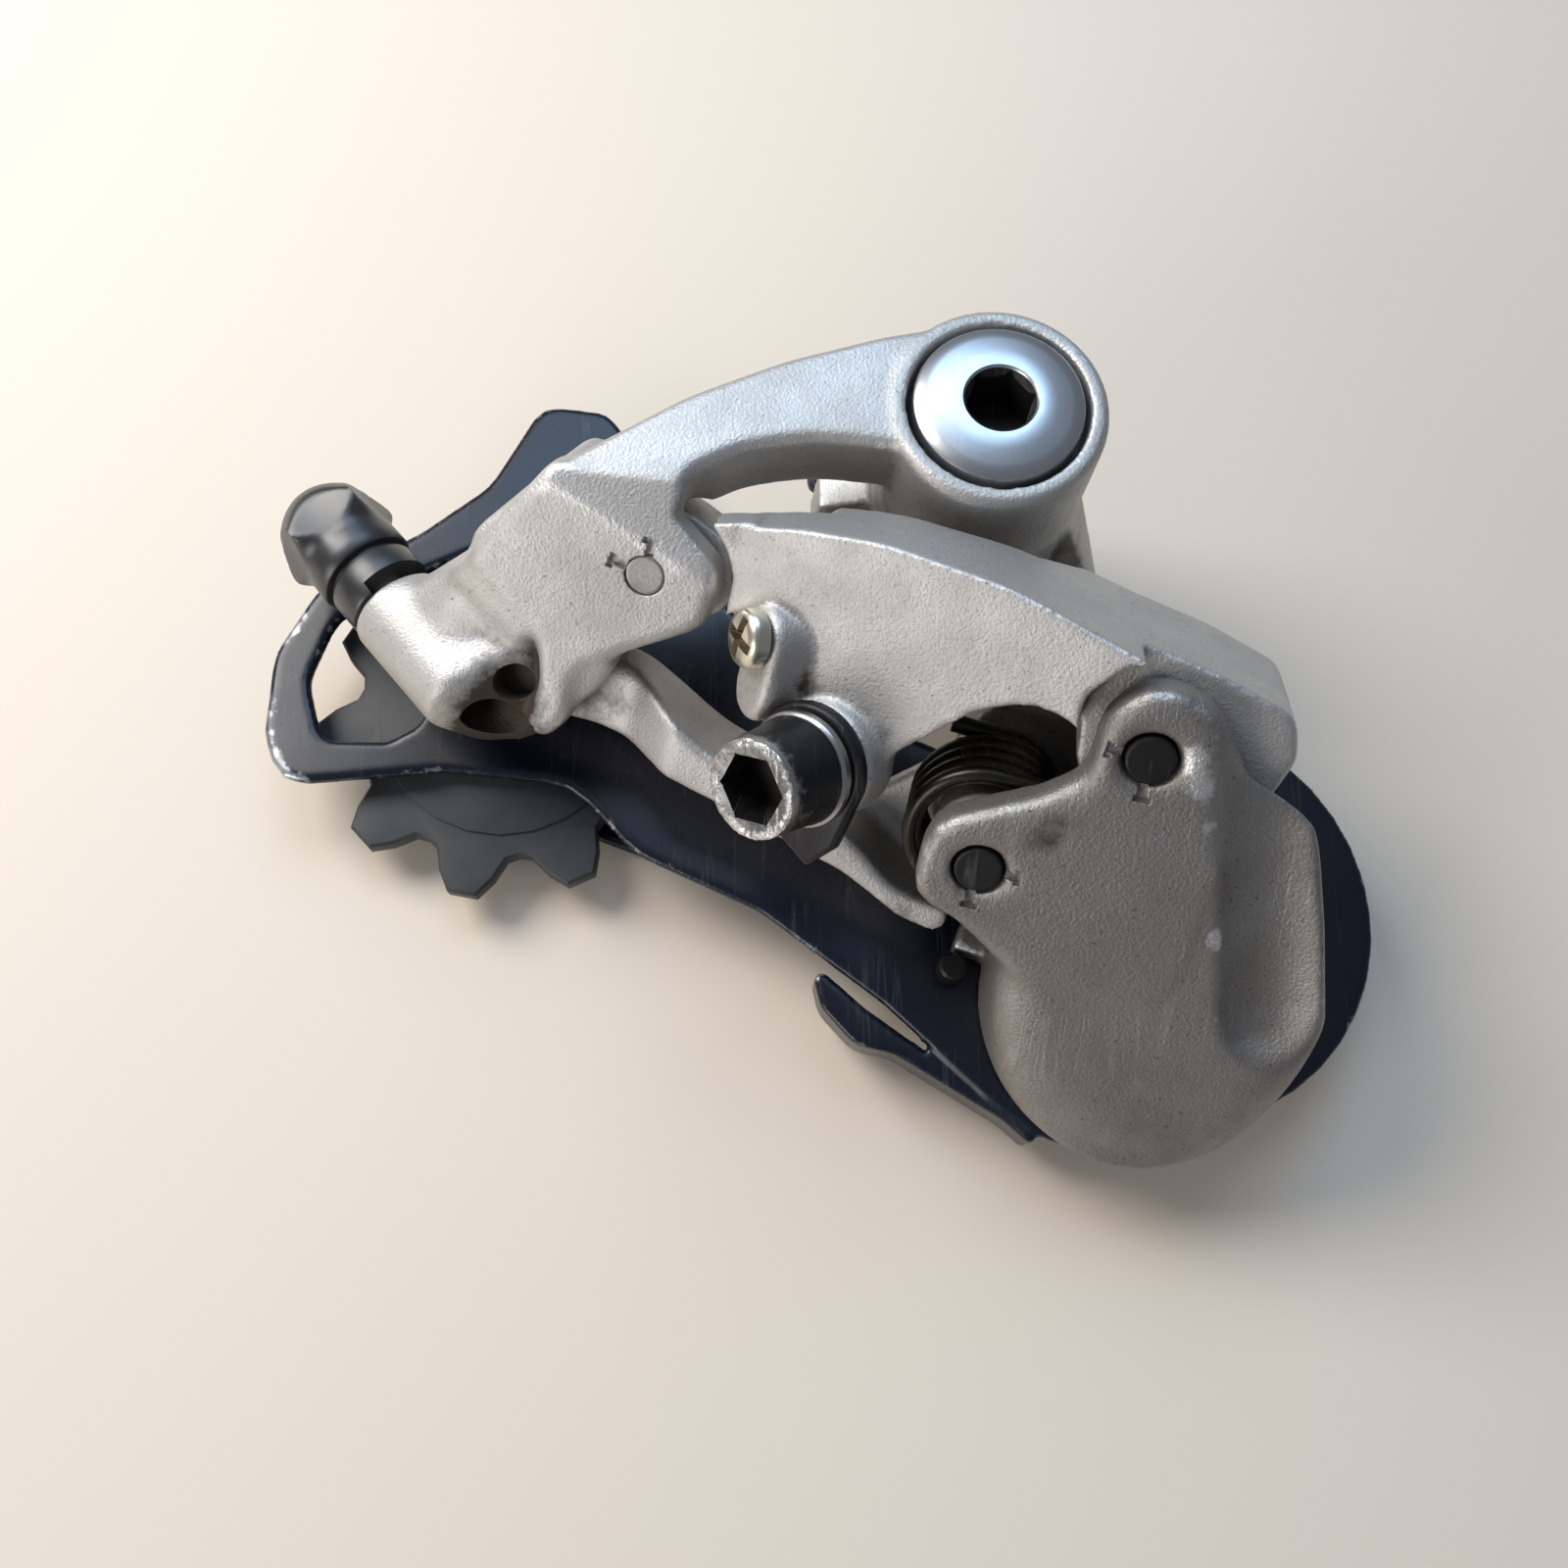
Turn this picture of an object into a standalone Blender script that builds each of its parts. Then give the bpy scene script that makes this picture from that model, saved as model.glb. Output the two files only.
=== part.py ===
"""Rear bicycle derailleur, lying on its inner cage plate and on the tip of its mounting bolt.

Lengths below are millimetres; solids are written to Blender in metres.  +Z is the outboard
side of the bicycle, +X its front and +Y up the wheel.  The origin is the tip of the mounting bolt.
The four link pins share one slanted axis, so everything between the two knuckles is drawn in the
link frame: u runs along the links, v across them, and w along the pins towards the outboard side.
"""
import math

import bpy
import bmesh
from mathutils import Matrix, Vector

MM = 0.001
WELD = 4e-6

# Clearances
FIT_GAP = 0.3
SWEEP_GAP = 0.6
FACE_RELIEF = 0.1

# Mounting bolt and the boss that turns on it
BOLT_RADIUS = 5.0
BOLT_HEAD_RADIUS = 8.5
BOLT_HEAD_HEIGHT = 3.8
BOLT_HEAD_CROWN = 1.0
BOLT_HEX_FLATS = 6.0
BOLT_HEX_DEPTH = 6.0
THREAD_LENGTH = 12.4
HANGER_PLATE_THICKNESS = 1.7
BOSS_LENGTH = 27.6
BOSS_RADIUS = 11.05
BOSS_GAP_RING = 0.6
BUSHING_WALL = 1.9
ARM_DEPTH = 9.0

# Slanted link frame
PIN_TILT = math.radians(45.0)
PIN_AZIMUTH = math.radians(-106.4)
REAR_PIN_FROM_BOLT = (-36.3, -23.1, 43.6)
LINK_LENGTH = 49.9
INNER_PIN_SHIFT_U = -11.4
INNER_PIN_SHIFT_V = -15.5
PIN_RADIUS = 2.3

# Stack of ears and links along the pins, measured from the front face of the pivot knuckle
REAR_FACE_W = -10.0
REAR_EAR_THICKNESS = 5.0
REAR_LINK_WIDTH = 6.2
REAR_BACK_EAR = 3.2
REAR_INNER_STEP = 3.4
FRONT_EAR_THICKNESS = 5.0
FRONT_LINK_WIDTH = 14.7
FRONT_BACK_EAR = 3.7

# Links
LINK_END_RADIUS = 13.6
LINK_EYE_RADIUS = 6.2
INNER_EYE_RADIUS = 4.8
INNER_SLEEVE_RADIUS = 4.9

# Link spring
SPRING_WIRE = 1.9
SPRING_MEAN_RADIUS = 7.0
SPRING_PITCH = 2.4
SPRING_CURLS = 4

# Cable bolt and its clamp
CLAMP_FROM_FRONT_PIN = (-28.9, -11.4, -4.6)
CLAMP_LEAN = math.radians(27.0)
CLAMP_BOSS_RADIUS = 6.0
CLAMP_PLATE_THICKNESS = 1.7
CLAMP_PLATE_MARGIN = 0.6
CABLE_BOLT_RADIUS = 2.5
CABLE_HEAD_RADIUS = 4.9
CABLE_HEAD_HEIGHT = 7.0
CABLE_FLANGE_RADIUS = 5.7
CABLE_FLANGE_THICKNESS = 1.2
CABLE_HEX_FLATS = 6.0

# Limit screws
LIMIT_HIGH_AT = (12.4, -1.6, -6.6)
LIMIT_LOW_SHIFT = (3.4, -0.6, -8.4)
LIMIT_LUG_DROP = 5.6
LIMIT_LEAN = math.radians(-52.0)
LIMIT_HEAD_RADIUS = 2.9
LIMIT_SHANK_RADIUS = 1.6
LIMIT_LENGTH = 9.0
LIMIT_LUG_RADIUS = 3.1

# Cable boss and barrel adjuster
CABLE_EXIT = (-16.3, -18.9, -12.9)
CABLE_BOSS_LENGTH = 13.5
CABLE_BOSS_RADIUS = 5.3
CABLE_ROLL_RADIUS = 7.0
CABLE_ROLL_END = (-9.5, -9.3, -17.2)
CABLE_ROLL_TOP = (-17.7, -3.3, -17.6)
STEM_RADIUS = 2.4
STEM_BORE = 1.3
COLLAR_RADIUS = 5.0
COLLAR_LENGTH = 4.6
SLEEVE_RADIUS = 5.6
SLEEVE_LENGTH = 5.0
GRIP_RADIUS = 6.9
GRIP_LENGTH = 6.6
GRIP_LOBES = 5

# Pivot knuckle and the axle of the cage
PIVOT_FROM_FRONT_PIN = (4.8, -16.7)
BELL_RADIUS = 17.0
BELL_RIM = 3.6
BELL_WIDTH_SHARE = 0.94
BELL_BOTTOM = 11.0
TROUGH_TURN = math.radians(19.3)
PIVOT_AXLE_RADIUS = 6.0
PIVOT_AXLE_TOP = 19.0
SEAL_WALL = 1.1
SEAL_WIDTH = 3.6
STOP_ANGLE = math.radians(168.0)
STOP_PIN_RADIUS = 1.5

# Cage
GUIDE_FROM_PIVOT = (5.2, 10.9)
PULLEY_SPACING = 77.0
CAGE_HEADING = math.radians(162.2)
INNER_PLATE = 1.6
OUTER_PLATE = 1.6
CAGE_TOP = 10.4
DISC_RADIUS = 23.0
PULLEY_TEETH = 10
PULLEY_TIP = 21.6
PULLEY_ROOT = 16.9
TOOTH_WIDTH = 2.3
HUB_RADIUS = 10.5
HUB_WIDTH = 4.4
CAP_RADIUS = 8.0
CAP_THICKNESS = 0.8
PULLEY_BORE = 4.3
PULLEY_BOLT_RADIUS = 2.5

# Sizes that follow from the ones above
HANGER_FACE = THREAD_LENGTH
BOSS_BOTTOM = HANGER_FACE + HANGER_PLATE_THICKNESS + FIT_GAP
BOSS_TOP = BOSS_BOTTOM + BOSS_LENGTH
COUNTERBORE_RADIUS = BOLT_HEAD_RADIUS + BOSS_GAP_RING
BOLT_SEAT = BOSS_TOP - BOLT_HEAD_HEIGHT
BUSHING_OUTER = BOLT_RADIUS + FIT_GAP + BUSHING_WALL
PIN_HOLE = PIN_RADIUS + FIT_GAP
SEAL_OUTER = BELL_RADIUS * BELL_WIDTH_SHARE - FIT_GAP - SEAL_WALL
SEAL_INNER = SEAL_OUTER - SEAL_WIDTH
CLAMP_PLATE_RADIUS = CABLE_FLANGE_RADIUS + CLAMP_PLATE_MARGIN

REAR_LINK_FRONT = REAR_FACE_W - REAR_EAR_THICKNESS - FIT_GAP
REAR_LINK_BACK = REAR_LINK_FRONT - REAR_LINK_WIDTH
REAR_BACK_FACE = REAR_LINK_BACK - FIT_GAP
REAR_BACK_W = REAR_BACK_FACE - REAR_BACK_EAR
FRONT_LINK_FRONT = -FRONT_EAR_THICKNESS - FIT_GAP
FRONT_LINK_BACK = FRONT_LINK_FRONT - FRONT_LINK_WIDTH
FRONT_BACK_FACE = FRONT_LINK_BACK - FIT_GAP
FRONT_BACK_W = FRONT_BACK_FACE - FRONT_BACK_EAR

PIN_AXIS = Vector((
    math.sin(PIN_TILT) * math.cos(PIN_AZIMUTH),
    math.sin(PIN_TILT) * math.sin(PIN_AZIMUTH),
    math.cos(PIN_TILT),
))
LINK_U = Vector((0.0, 0.0, 1.0)).cross(PIN_AXIS).normalized()
REAR_PIN = Vector(REAR_PIN_FROM_BOLT)
CLAMP_SEAT = (LINK_LENGTH + CLAMP_FROM_FRONT_PIN[0], CLAMP_FROM_FRONT_PIN[1], CLAMP_FROM_FRONT_PIN[2])


def frame(origin, axis_x, axis_z):
    """Matrix in millimetres whose x and z columns are the given directions."""
    z = Vector(axis_z).normalized()
    x = Vector(axis_x)
    x = (x - z * x.dot(z)).normalized()
    y = z.cross(x)
    turn = Matrix((x, y, z)).transposed().to_4x4()
    return Matrix.Translation(Vector(origin)) @ turn


LINK = frame(REAR_PIN, LINK_U, PIN_AXIS)
WORLD = Matrix.Identity(4)

REAR_OUTER = (0.0, 0.0)
REAR_INNER = (INNER_PIN_SHIFT_U, INNER_PIN_SHIFT_V)
FRONT_OUTER = (LINK_LENGTH, 0.0)
FRONT_INNER = (LINK_LENGTH + INNER_PIN_SHIFT_U, INNER_PIN_SHIFT_V)

FRONT_PIN = LINK @ Vector((LINK_LENGTH, 0.0, 0.0))
PIVOT = Vector((FRONT_PIN.x + PIVOT_FROM_FRONT_PIN[0], FRONT_PIN.y + PIVOT_FROM_FRONT_PIN[1], 0.0))
GUIDE = Vector((PIVOT.x + GUIDE_FROM_PIVOT[0], PIVOT.y + GUIDE_FROM_PIVOT[1], 0.0))
CAGE_DIRECTION = Vector((math.cos(CAGE_HEADING), math.sin(CAGE_HEADING), 0.0))
TENSION = GUIDE + CAGE_DIRECTION * PULLEY_SPACING
OUTER_PLATE_BOTTOM = CAGE_TOP - OUTER_PLATE


def new_object(name, mesh_builder):
    """Turn a bmesh in millimetres into an object in metres, closed and facing out."""
    bmesh.ops.recalc_face_normals(mesh_builder, faces=mesh_builder.faces)
    bmesh.ops.scale(mesh_builder, vec=(MM, MM, MM), verts=mesh_builder.verts)
    mesh = bpy.data.meshes.new(name)
    mesh_builder.to_mesh(mesh)
    mesh_builder.free()
    item = bpy.data.objects.new(name, mesh)
    bpy.context.scene.collection.objects.link(item)
    return item


def arc(center, radius, start, stop, count):
    """Points on an arc; the angles are in degrees."""
    points = []
    for index in range(count + 1):
        angle = math.radians(start + (stop - start) * index / count)
        points.append((center[0] + radius * math.cos(angle), center[1] + radius * math.sin(angle)))
    return points


def rounded(corners, turn_per_step=38.0):
    """Outline from (x, y, radius) corners, each corner replaced by an arc."""
    outline = []
    total = len(corners)
    for index, (x, y, radius) in enumerate(corners):
        here = Vector((x, y))
        before = Vector(corners[index - 1][:2]) - here
        after = Vector(corners[(index + 1) % total][:2]) - here
        turn = math.pi - before.angle(after)
        if radius <= 0.0 or turn < 0.02:
            outline.append((x, y))
            continue
        reach = radius * math.tan(turn / 2.0)
        limit = 0.48 * min(before.length, after.length)
        if reach > limit:
            radius *= limit / reach
            reach = limit
        first = here + before.normalized() * reach
        last = here + after.normalized() * reach
        middle = (before.normalized() + after.normalized()).normalized()
        center = here + middle * (radius / math.cos(turn / 2.0))
        count = max(2, math.ceil(math.degrees(turn) / turn_per_step))
        spin = (first - center).angle_signed(last - center)
        arm = first - center
        for step in range(count + 1):
            angle = -spin * step / count
            cosine = math.cos(angle)
            sine = math.sin(angle)
            outline.append((
                center.x + arm.x * cosine - arm.y * sine,
                center.y + arm.x * sine + arm.y * cosine,
            ))
    return outline


def inset(outline, distance):
    """Outline moved inwards by a distance; the outline runs counter-clockwise."""
    moved = []
    total = len(outline)
    for index, point in enumerate(outline):
        here = Vector(point)
        back = (here - Vector(outline[index - 1])).normalized()
        ahead = (Vector(outline[(index + 1) % total]) - here).normalized()
        normal = Vector((-back.y - ahead.y, back.x + ahead.x)).normalized()
        share = max(0.5, normal.dot(Vector((-back.y, back.x))))
        moved.append(tuple(here + normal * (distance / share)))
    return moved


def prism(outline, low, high, matrix=WORLD, rim=0.0, name="tool"):
    """Outline in the matrix's xy plane, extruded from low to high, its rims chamfered."""
    area = 0.0
    for index, (x, y) in enumerate(outline):
        next_x, next_y = outline[(index + 1) % len(outline)]
        area += x * next_y - next_x * y
    if area < 0.0:
        outline = outline[::-1]
    levels = [(outline, low), (outline, high)]
    if rim > 0.0:
        small = inset(outline, rim)
        levels = [(small, low), (outline, low + rim), (outline, high - rim), (small, high)]
    builder = bmesh.new()
    loops = []
    for points, height in levels:
        loops.append([builder.verts.new(matrix @ Vector((x, y, height))) for x, y in points])
    builder.faces.new(loops[0][::-1])
    builder.faces.new(loops[-1])
    total = len(outline)
    for lower, upper in zip(loops, loops[1:]):
        for index in range(total):
            after = (index + 1) % total
            builder.faces.new((lower[index], lower[after], upper[after], upper[index]))
    return new_object(name, builder)


def lathe(profile, matrix=WORLD, steps=32, closed=False, name="tool"):
    """Turned solid: (radius, height) pairs; a closed profile makes a ring."""
    builder = bmesh.new()
    rings = []
    for radius, height in profile:
        if radius <= 0.0:
            rings.append([builder.verts.new(matrix @ Vector((0.0, 0.0, height)))])
            continue
        ring = []
        for index in range(steps):
            angle = 2.0 * math.pi * index / steps
            point = Vector((radius * math.cos(angle), radius * math.sin(angle), height))
            ring.append(builder.verts.new(matrix @ point))
        rings.append(ring)
    pairs = list(zip(rings, rings[1:]))
    if closed:
        pairs.append((rings[-1], rings[0]))
    for lower, upper in pairs:
        for index in range(steps):
            after = (index + 1) % steps
            if len(lower) == 1:
                builder.faces.new((lower[0], upper[after], upper[index]))
            elif len(upper) == 1:
                builder.faces.new((lower[index], lower[after], upper[0]))
            else:
                builder.faces.new((lower[index], lower[after], upper[after], upper[index]))
    if not closed:
        for ring in (rings[0], rings[-1]):
            if len(ring) > 1:
                builder.faces.new(ring)
    return new_object(name, builder)


def hull(points, name="tool"):
    """Convex solid round the given points."""
    builder = bmesh.new()
    for point in points:
        builder.verts.new(Vector(point))
    result = bmesh.ops.convex_hull(builder, input=builder.verts)
    unused = [item for item in result["geom_interior"] if isinstance(item, bmesh.types.BMVert)]
    bmesh.ops.delete(builder, geom=unused, context="VERTS")
    return new_object(name, builder)


def rod(radius, low, high, matrix=WORLD, steps=24, rim=0.0, name="tool"):
    """Plain cylinder with chamfered ends."""
    profile = [(0.0, low), (radius, low), (radius, high), (0.0, high)]
    if rim > 0.0:
        profile = [
            (0.0, low), (radius - rim, low), (radius, low + rim),
            (radius, high - rim), (radius - rim, high), (0.0, high),
        ]
    return lathe(profile, matrix, steps, name=name)


def hexagon(flats, low, high, matrix):
    """Hexagonal prism measured across its flats."""
    return prism(arc((0.0, 0.0), flats / math.sqrt(3.0), 0.0, 300.0, 5), low, high, matrix)


def weld(mesh):
    """Merge the stray points that a Boolean leaves along its cut."""
    builder = bmesh.new()
    builder.from_mesh(mesh)
    bmesh.ops.remove_doubles(builder, verts=builder.verts, dist=WELD)
    bmesh.ops.dissolve_degenerate(builder, edges=builder.edges, dist=WELD)
    builder.to_mesh(mesh)
    builder.free()


def combine(target, tool, operation):
    """Apply one exact Boolean and discard the tool."""
    step = target.modifiers.new("step", "BOOLEAN")
    step.operation = operation
    step.solver = "EXACT"
    step.object = tool
    bpy.context.view_layer.update()
    graph = bpy.context.evaluated_depsgraph_get()
    mesh = bpy.data.meshes.new_from_object(target.evaluated_get(graph))
    weld(mesh)
    target.modifiers.clear()
    old_mesh = target.data
    target.data = mesh
    mesh.name = target.name
    bpy.data.meshes.remove(old_mesh)
    tool_mesh = tool.data
    bpy.data.objects.remove(tool)
    bpy.data.meshes.remove(tool_mesh)
    return target


def add(target, *tools):
    for tool in tools:
        combine(target, tool, "UNION")
    return target


def cut(target, *tools):
    for tool in tools:
        combine(target, tool, "DIFFERENCE")
    return target


def keep(target, *tools):
    for tool in tools:
        combine(target, tool, "INTERSECT")
    return target


def pin_frame(place, w=0.0):
    """Frame on a pin's axis, at height w."""
    return LINK @ Matrix.Translation((place[0], place[1], w))


def shifted(place, matrix=LINK):
    return matrix @ Matrix.Translation(Vector(place))


def leaning(place, lean):
    """Frame in the link frame whose axis leans from w towards -u by an angle."""
    return shifted(place) @ Matrix.Rotation(-lean, 4, "Y")


def at(center, height=0.0):
    return Matrix.Translation((center.x, center.y, height))


def half_space_above(height, matrix=WORLD, reach=160.0):
    """Large block above a plane of the given frame."""
    square = [(-reach, -reach), (reach, -reach), (reach, reach), (-reach, reach)]
    return prism(square, height, height + reach, matrix)


def half_space_below(height, matrix=WORLD, reach=160.0):
    square = [(-reach, -reach), (reach, -reach), (reach, reach), (-reach, reach)]
    return prism(square, height - reach, height, matrix)


def pin_holes(target, places, low, high):
    for place in places:
        cut(target, rod(PIN_HOLE, low, high, pin_frame(place), 18))
    return target


def mounting_bolt():
    rise = BOSS_TOP + 0.3
    bolt = lathe([
        (0.0, 0.0), (BOLT_RADIUS - 0.9, 0.0), (BOLT_RADIUS, 1.2), (BOLT_RADIUS, HANGER_FACE),
        (BOLT_RADIUS - 0.5, HANGER_FACE), (BOLT_RADIUS - 0.5, HANGER_FACE + HANGER_PLATE_THICKNESS),
        (BOLT_RADIUS, HANGER_FACE + HANGER_PLATE_THICKNESS), (BOLT_RADIUS, BOLT_SEAT + FIT_GAP),
        (BOLT_HEAD_RADIUS, BOLT_SEAT + FIT_GAP), (BOLT_HEAD_RADIUS, rise - 0.5),
        (BOLT_HEAD_RADIUS - 0.5, rise), (BOLT_HEAD_RADIUS * 0.55, rise + BOLT_HEAD_CROWN * 0.8),
        (0.0, rise + BOLT_HEAD_CROWN),
    ], steps=30, name="mounting_bolt")
    top = rise + BOLT_HEAD_CROWN
    entry = BOLT_HEX_FLATS / math.sqrt(3.0)
    cut(bolt, lathe([
        (0.0, top - 1.3), (entry - 0.5, top - 1.3), (entry + 0.9, top + 0.1), (0.0, top + 0.1),
    ], steps=24))
    cut(bolt, hexagon(BOLT_HEX_FLATS, top - BOLT_HEX_DEPTH, top + 1.0, WORLD))
    return bolt


def stop_plate():
    """Steel plate against the hanger, with a bent tab for the tension screw."""
    low = HANGER_FACE
    high = low + HANGER_PLATE_THICKNESS
    radius = BOSS_RADIUS - 0.8
    plate = rod(radius, low, high, steps=28, name="hanger_stop_plate")
    tab = rounded([
        (-6.0, 6.0, 0.0), (-9.0, 3.0, 0.0), (-17.3, 6.6, 1.5), (-17.3, 10.6, 1.5), (-6.0, 9.4, 0.0),
    ])
    add(plate, prism(tab, low + 0.02, high - 0.02))
    wall = [(-16.6, 8.0), (-11.8, 8.0), (-11.8, 9.6), (-16.6, 9.6)]
    add(plate, prism(wall, low + 0.4, low + 8.4))
    nose = rounded([(7.0, -6.0, 0.0), (14.6, -9.6, 1.0), (15.4, -5.4, 1.0), (9.0, -1.0, 0.0)])
    add(plate, prism(nose, low + 0.02, high - 0.02))
    cut(plate, rod(BOLT_RADIUS + 2.2, low - 1.0, high + 1.0, steps=28))
    return plate


def retaining_ring():
    low = HANGER_FACE + 0.45
    inner = BOLT_RADIUS - 0.5 + FIT_GAP / 2.0
    outer = BOLT_RADIUS + 1.9
    mouth = 40.0
    outline = arc((0.0, 0.0), outer, mouth, 360.0 - mouth, 16)
    outline += arc((0.0, 0.0), inner, 360.0 - mouth, mouth, 16)
    return prism(outline, low, low + 0.8, name="retaining_ring")


def axle_bushing():
    low = BOSS_BOTTOM + FIT_GAP
    high = BOLT_SEAT - 4.5
    inner = BOLT_RADIUS + FIT_GAP
    return lathe([
        (inner, low), (BUSHING_OUTER, low), (BUSHING_OUTER, high), (inner, high),
    ], steps=24, closed=True, name="axle_bushing")


def arm_outline():
    """Arm seen from outboard: from the boss to the pivot block."""
    x, y = REAR_PIN.x, REAR_PIN.y
    return rounded([
        (1.0, BOSS_RADIUS - 0.6, 0.0), (-11.3, 8.0, 20.0), (-21.0, 5.0, 30.0),
        (x + 5.9, y + 24.0, 30.0), (x - 7.2, y + 15.8, 5.0), (x - 8.4, y + 8.4, 3.0),
        (x + 3.5, y + 7.5, 2.0), (x + 6.4, y + 15.4, 3.5), (x + 11.5, y + 18.0, 10.0),
        (-18.0, -3.8, 20.0), (-10.8, -4.6, 3.0), (-2.0, 4.0 - BOSS_RADIUS, 0.0),
    ])


def ridge_frame():
    """Frame on the slanted top of the pivot block, between the arm's top and the ear's front face."""
    left = LINK @ Vector((-10.8, 8.8, REAR_FACE_W))
    right = LINK @ Vector((2.8, 2.6, REAR_FACE_W))
    slot_end = Vector((REAR_PIN.x + 5.3, REAR_PIN.y + 14.1, BOSS_TOP))
    along = right - left
    return frame(left, along, along.cross(slot_end - left))


def cable_direction():
    return Vector((0.841, -0.348, 0.414)).normalized()


def cable_frame():
    """Frame at the cable exit; its axis points back up the cable, towards the adjuster."""
    local = cable_direction()
    back = -(LINK.to_3x3() @ local)
    origin = LINK @ Vector(CABLE_EXIT)
    return frame(origin, PIN_AXIS, back)


def bracket_knuckle():
    knuckle = lathe([
        (0.0, BOSS_BOTTOM), (BOSS_RADIUS - 0.4, BOSS_BOTTOM), (BOSS_RADIUS, BOSS_BOTTOM + 0.5),
        (BOSS_RADIUS, BOSS_TOP - 0.7), (BOSS_RADIUS - 0.6, BOSS_TOP), (0.0, BOSS_TOP),
    ], steps=36, name="bracket_knuckle")
    arm = prism(arm_outline(), BOSS_TOP - ARM_DEPTH, BOSS_TOP - 0.2, rim=0.8)
    cut(arm, half_space_above(REAR_FACE_W - FACE_RELIEF, LINK))
    cut(arm, half_space_above(0.0, ridge_frame()))
    add(knuckle, arm)

    ear = rounded([
        (-10.8, 8.8, 2.0), (0.8, 6.6, 4.0), (7.2, 2.2, 3.0), (7.0, -3.6, 3.5), (0.6, -8.0, 5.0),
        (-5.0, -12.0, 3.0), (-4.8, -17.5, 3.0), (-7.4, -21.0, 1.2), (-9.6, -19.5, 1.0),
        (-8.8, -14.5, 2.0), (-9.8, -9.8, 2.0), (-18.5, -3.5, 1.5),
    ])
    ear = prism(ear, REAR_FACE_W - REAR_EAR_THICKNESS, REAR_FACE_W, LINK, rim=0.8)
    cut(ear, half_space_above(-FACE_RELIEF / 2.0, ridge_frame()))
    add(knuckle, ear)
    inner_ear = rounded([
        (-17.0, -16.4, 2.0), (-14.0, -21.0, 3.0), (-6.2, -20.4, 4.0), (-4.2, -12.0, 3.0),
        (-8.4, -5.0, 2.0), (-15.2, -7.0, 3.0),
    ])
    inner_face = REAR_FACE_W - REAR_INNER_STEP
    add(knuckle, prism(inner_ear, REAR_FACE_W - REAR_EAR_THICKNESS, inner_face, LINK, rim=0.5))
    core = rounded([
        (-10.7, 8.3, 2.0), (0.4, 4.2, 3.0), (0.4, 2.0, 0.0), (-7.4, -3.0, 3.0), (-12.0, -8.0, 3.0),
        (-17.6, -10.0, 2.0), (-18.0, -19.4, 2.0), (-20.4, -17.4, 2.0), (-19.1, -2.2, 4.0),
    ])
    core_top = REAR_FACE_W - REAR_EAR_THICKNESS + FACE_RELIEF * 3.0
    add(knuckle, prism(core, REAR_BACK_W + 0.5, core_top, LINK))
    back_ear = rounded([
        (-10.9, 8.0, 3.0), (1.5, 4.6, 4.0), (6.4, 0.0, 4.0), (2.5, -6.5, 5.0), (-5.5, -13.0, 4.0),
        (-7.0, -19.0, 4.0), (-13.5, -20.2, 4.0), (-18.6, -14.0, 3.0), (-18.8, -2.4, 4.0),
    ])
    add(knuckle, prism(back_ear, REAR_BACK_W, REAR_BACK_FACE, LINK))

    cable = cable_frame()
    add(knuckle, rod(CABLE_BOSS_RADIUS, 0.0, CABLE_BOSS_LENGTH, cable, 28, rim=0.5))
    roll_end = LINK @ Vector(CABLE_ROLL_END)
    along = LINK @ Vector(CABLE_ROLL_TOP) - roll_end
    roll = frame(roll_end, PIN_AXIS, along)
    add(knuckle, rod(CABLE_ROLL_RADIUS, 0.0, along.length, roll, 28, rim=0.6))

    gusset = hull([
        (8.0, -7.0, BOSS_BOTTOM), (15.0, -8.8, BOSS_BOTTOM), (15.6, -6.2, BOSS_BOTTOM),
        (10.0, 2.0, BOSS_BOTTOM), (14.6, -8.0, BOSS_BOTTOM + 3.0), (14.9, -6.4, BOSS_BOTTOM + 3.0),
        (8.0, -6.0, BOSS_BOTTOM + 17.0), (10.0, -1.0, BOSS_BOTTOM + 17.0),
    ])
    add(knuckle, gusset)
    lug = hull([
        (-8.0, -1.2, BOSS_BOTTOM + 1.2), (-17.2, -1.2, BOSS_BOTTOM + 1.2), (-17.2, 3.4, BOSS_BOTTOM + 1.2),
        (-8.0, 3.4, BOSS_BOTTOM + 1.2), (-8.0, -1.2, BOSS_BOTTOM + 11.0), (-16.6, -1.2, BOSS_BOTTOM + 8.4),
        (-16.6, 3.4, BOSS_BOTTOM + 8.4), (-8.0, 3.4, BOSS_BOTTOM + 11.0),
    ])
    add(knuckle, lug)

    bore = BOLT_RADIUS + 0.5
    cut(knuckle, lathe([
        (0.0, BOSS_BOTTOM - 1.0), (BUSHING_OUTER + FIT_GAP, BOSS_BOTTOM - 1.0),
        (BUSHING_OUTER + FIT_GAP, BOLT_SEAT - 4.2), (bore, BOLT_SEAT - 4.2), (bore, BOLT_SEAT),
        (COUNTERBORE_RADIUS, BOLT_SEAT), (COUNTERBORE_RADIUS, BOSS_TOP + 1.0), (0.0, BOSS_TOP + 1.0),
    ], steps=36))
    slot_low = REAR_BACK_FACE - FACE_RELIEF
    slot_high = REAR_FACE_W - REAR_EAR_THICKNESS + FACE_RELIEF
    cut(knuckle, rod(LINK_EYE_RADIUS + SWEEP_GAP, slot_low, slot_high, pin_frame(REAR_OUTER), 24))
    slot_low -= FACE_RELIEF
    slot_high += FACE_RELIEF
    cut(knuckle, rod(INNER_EYE_RADIUS + SWEEP_GAP, slot_low, slot_high, pin_frame(REAR_INNER), 24))
    pin_holes(knuckle, (REAR_OUTER, REAR_INNER), REAR_BACK_W - 2.0, REAR_FACE_W + 2.0)
    cut(knuckle, rod(STEM_RADIUS + FIT_GAP, -2.0, CABLE_BOSS_LENGTH + 2.0, cable, 20))
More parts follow.
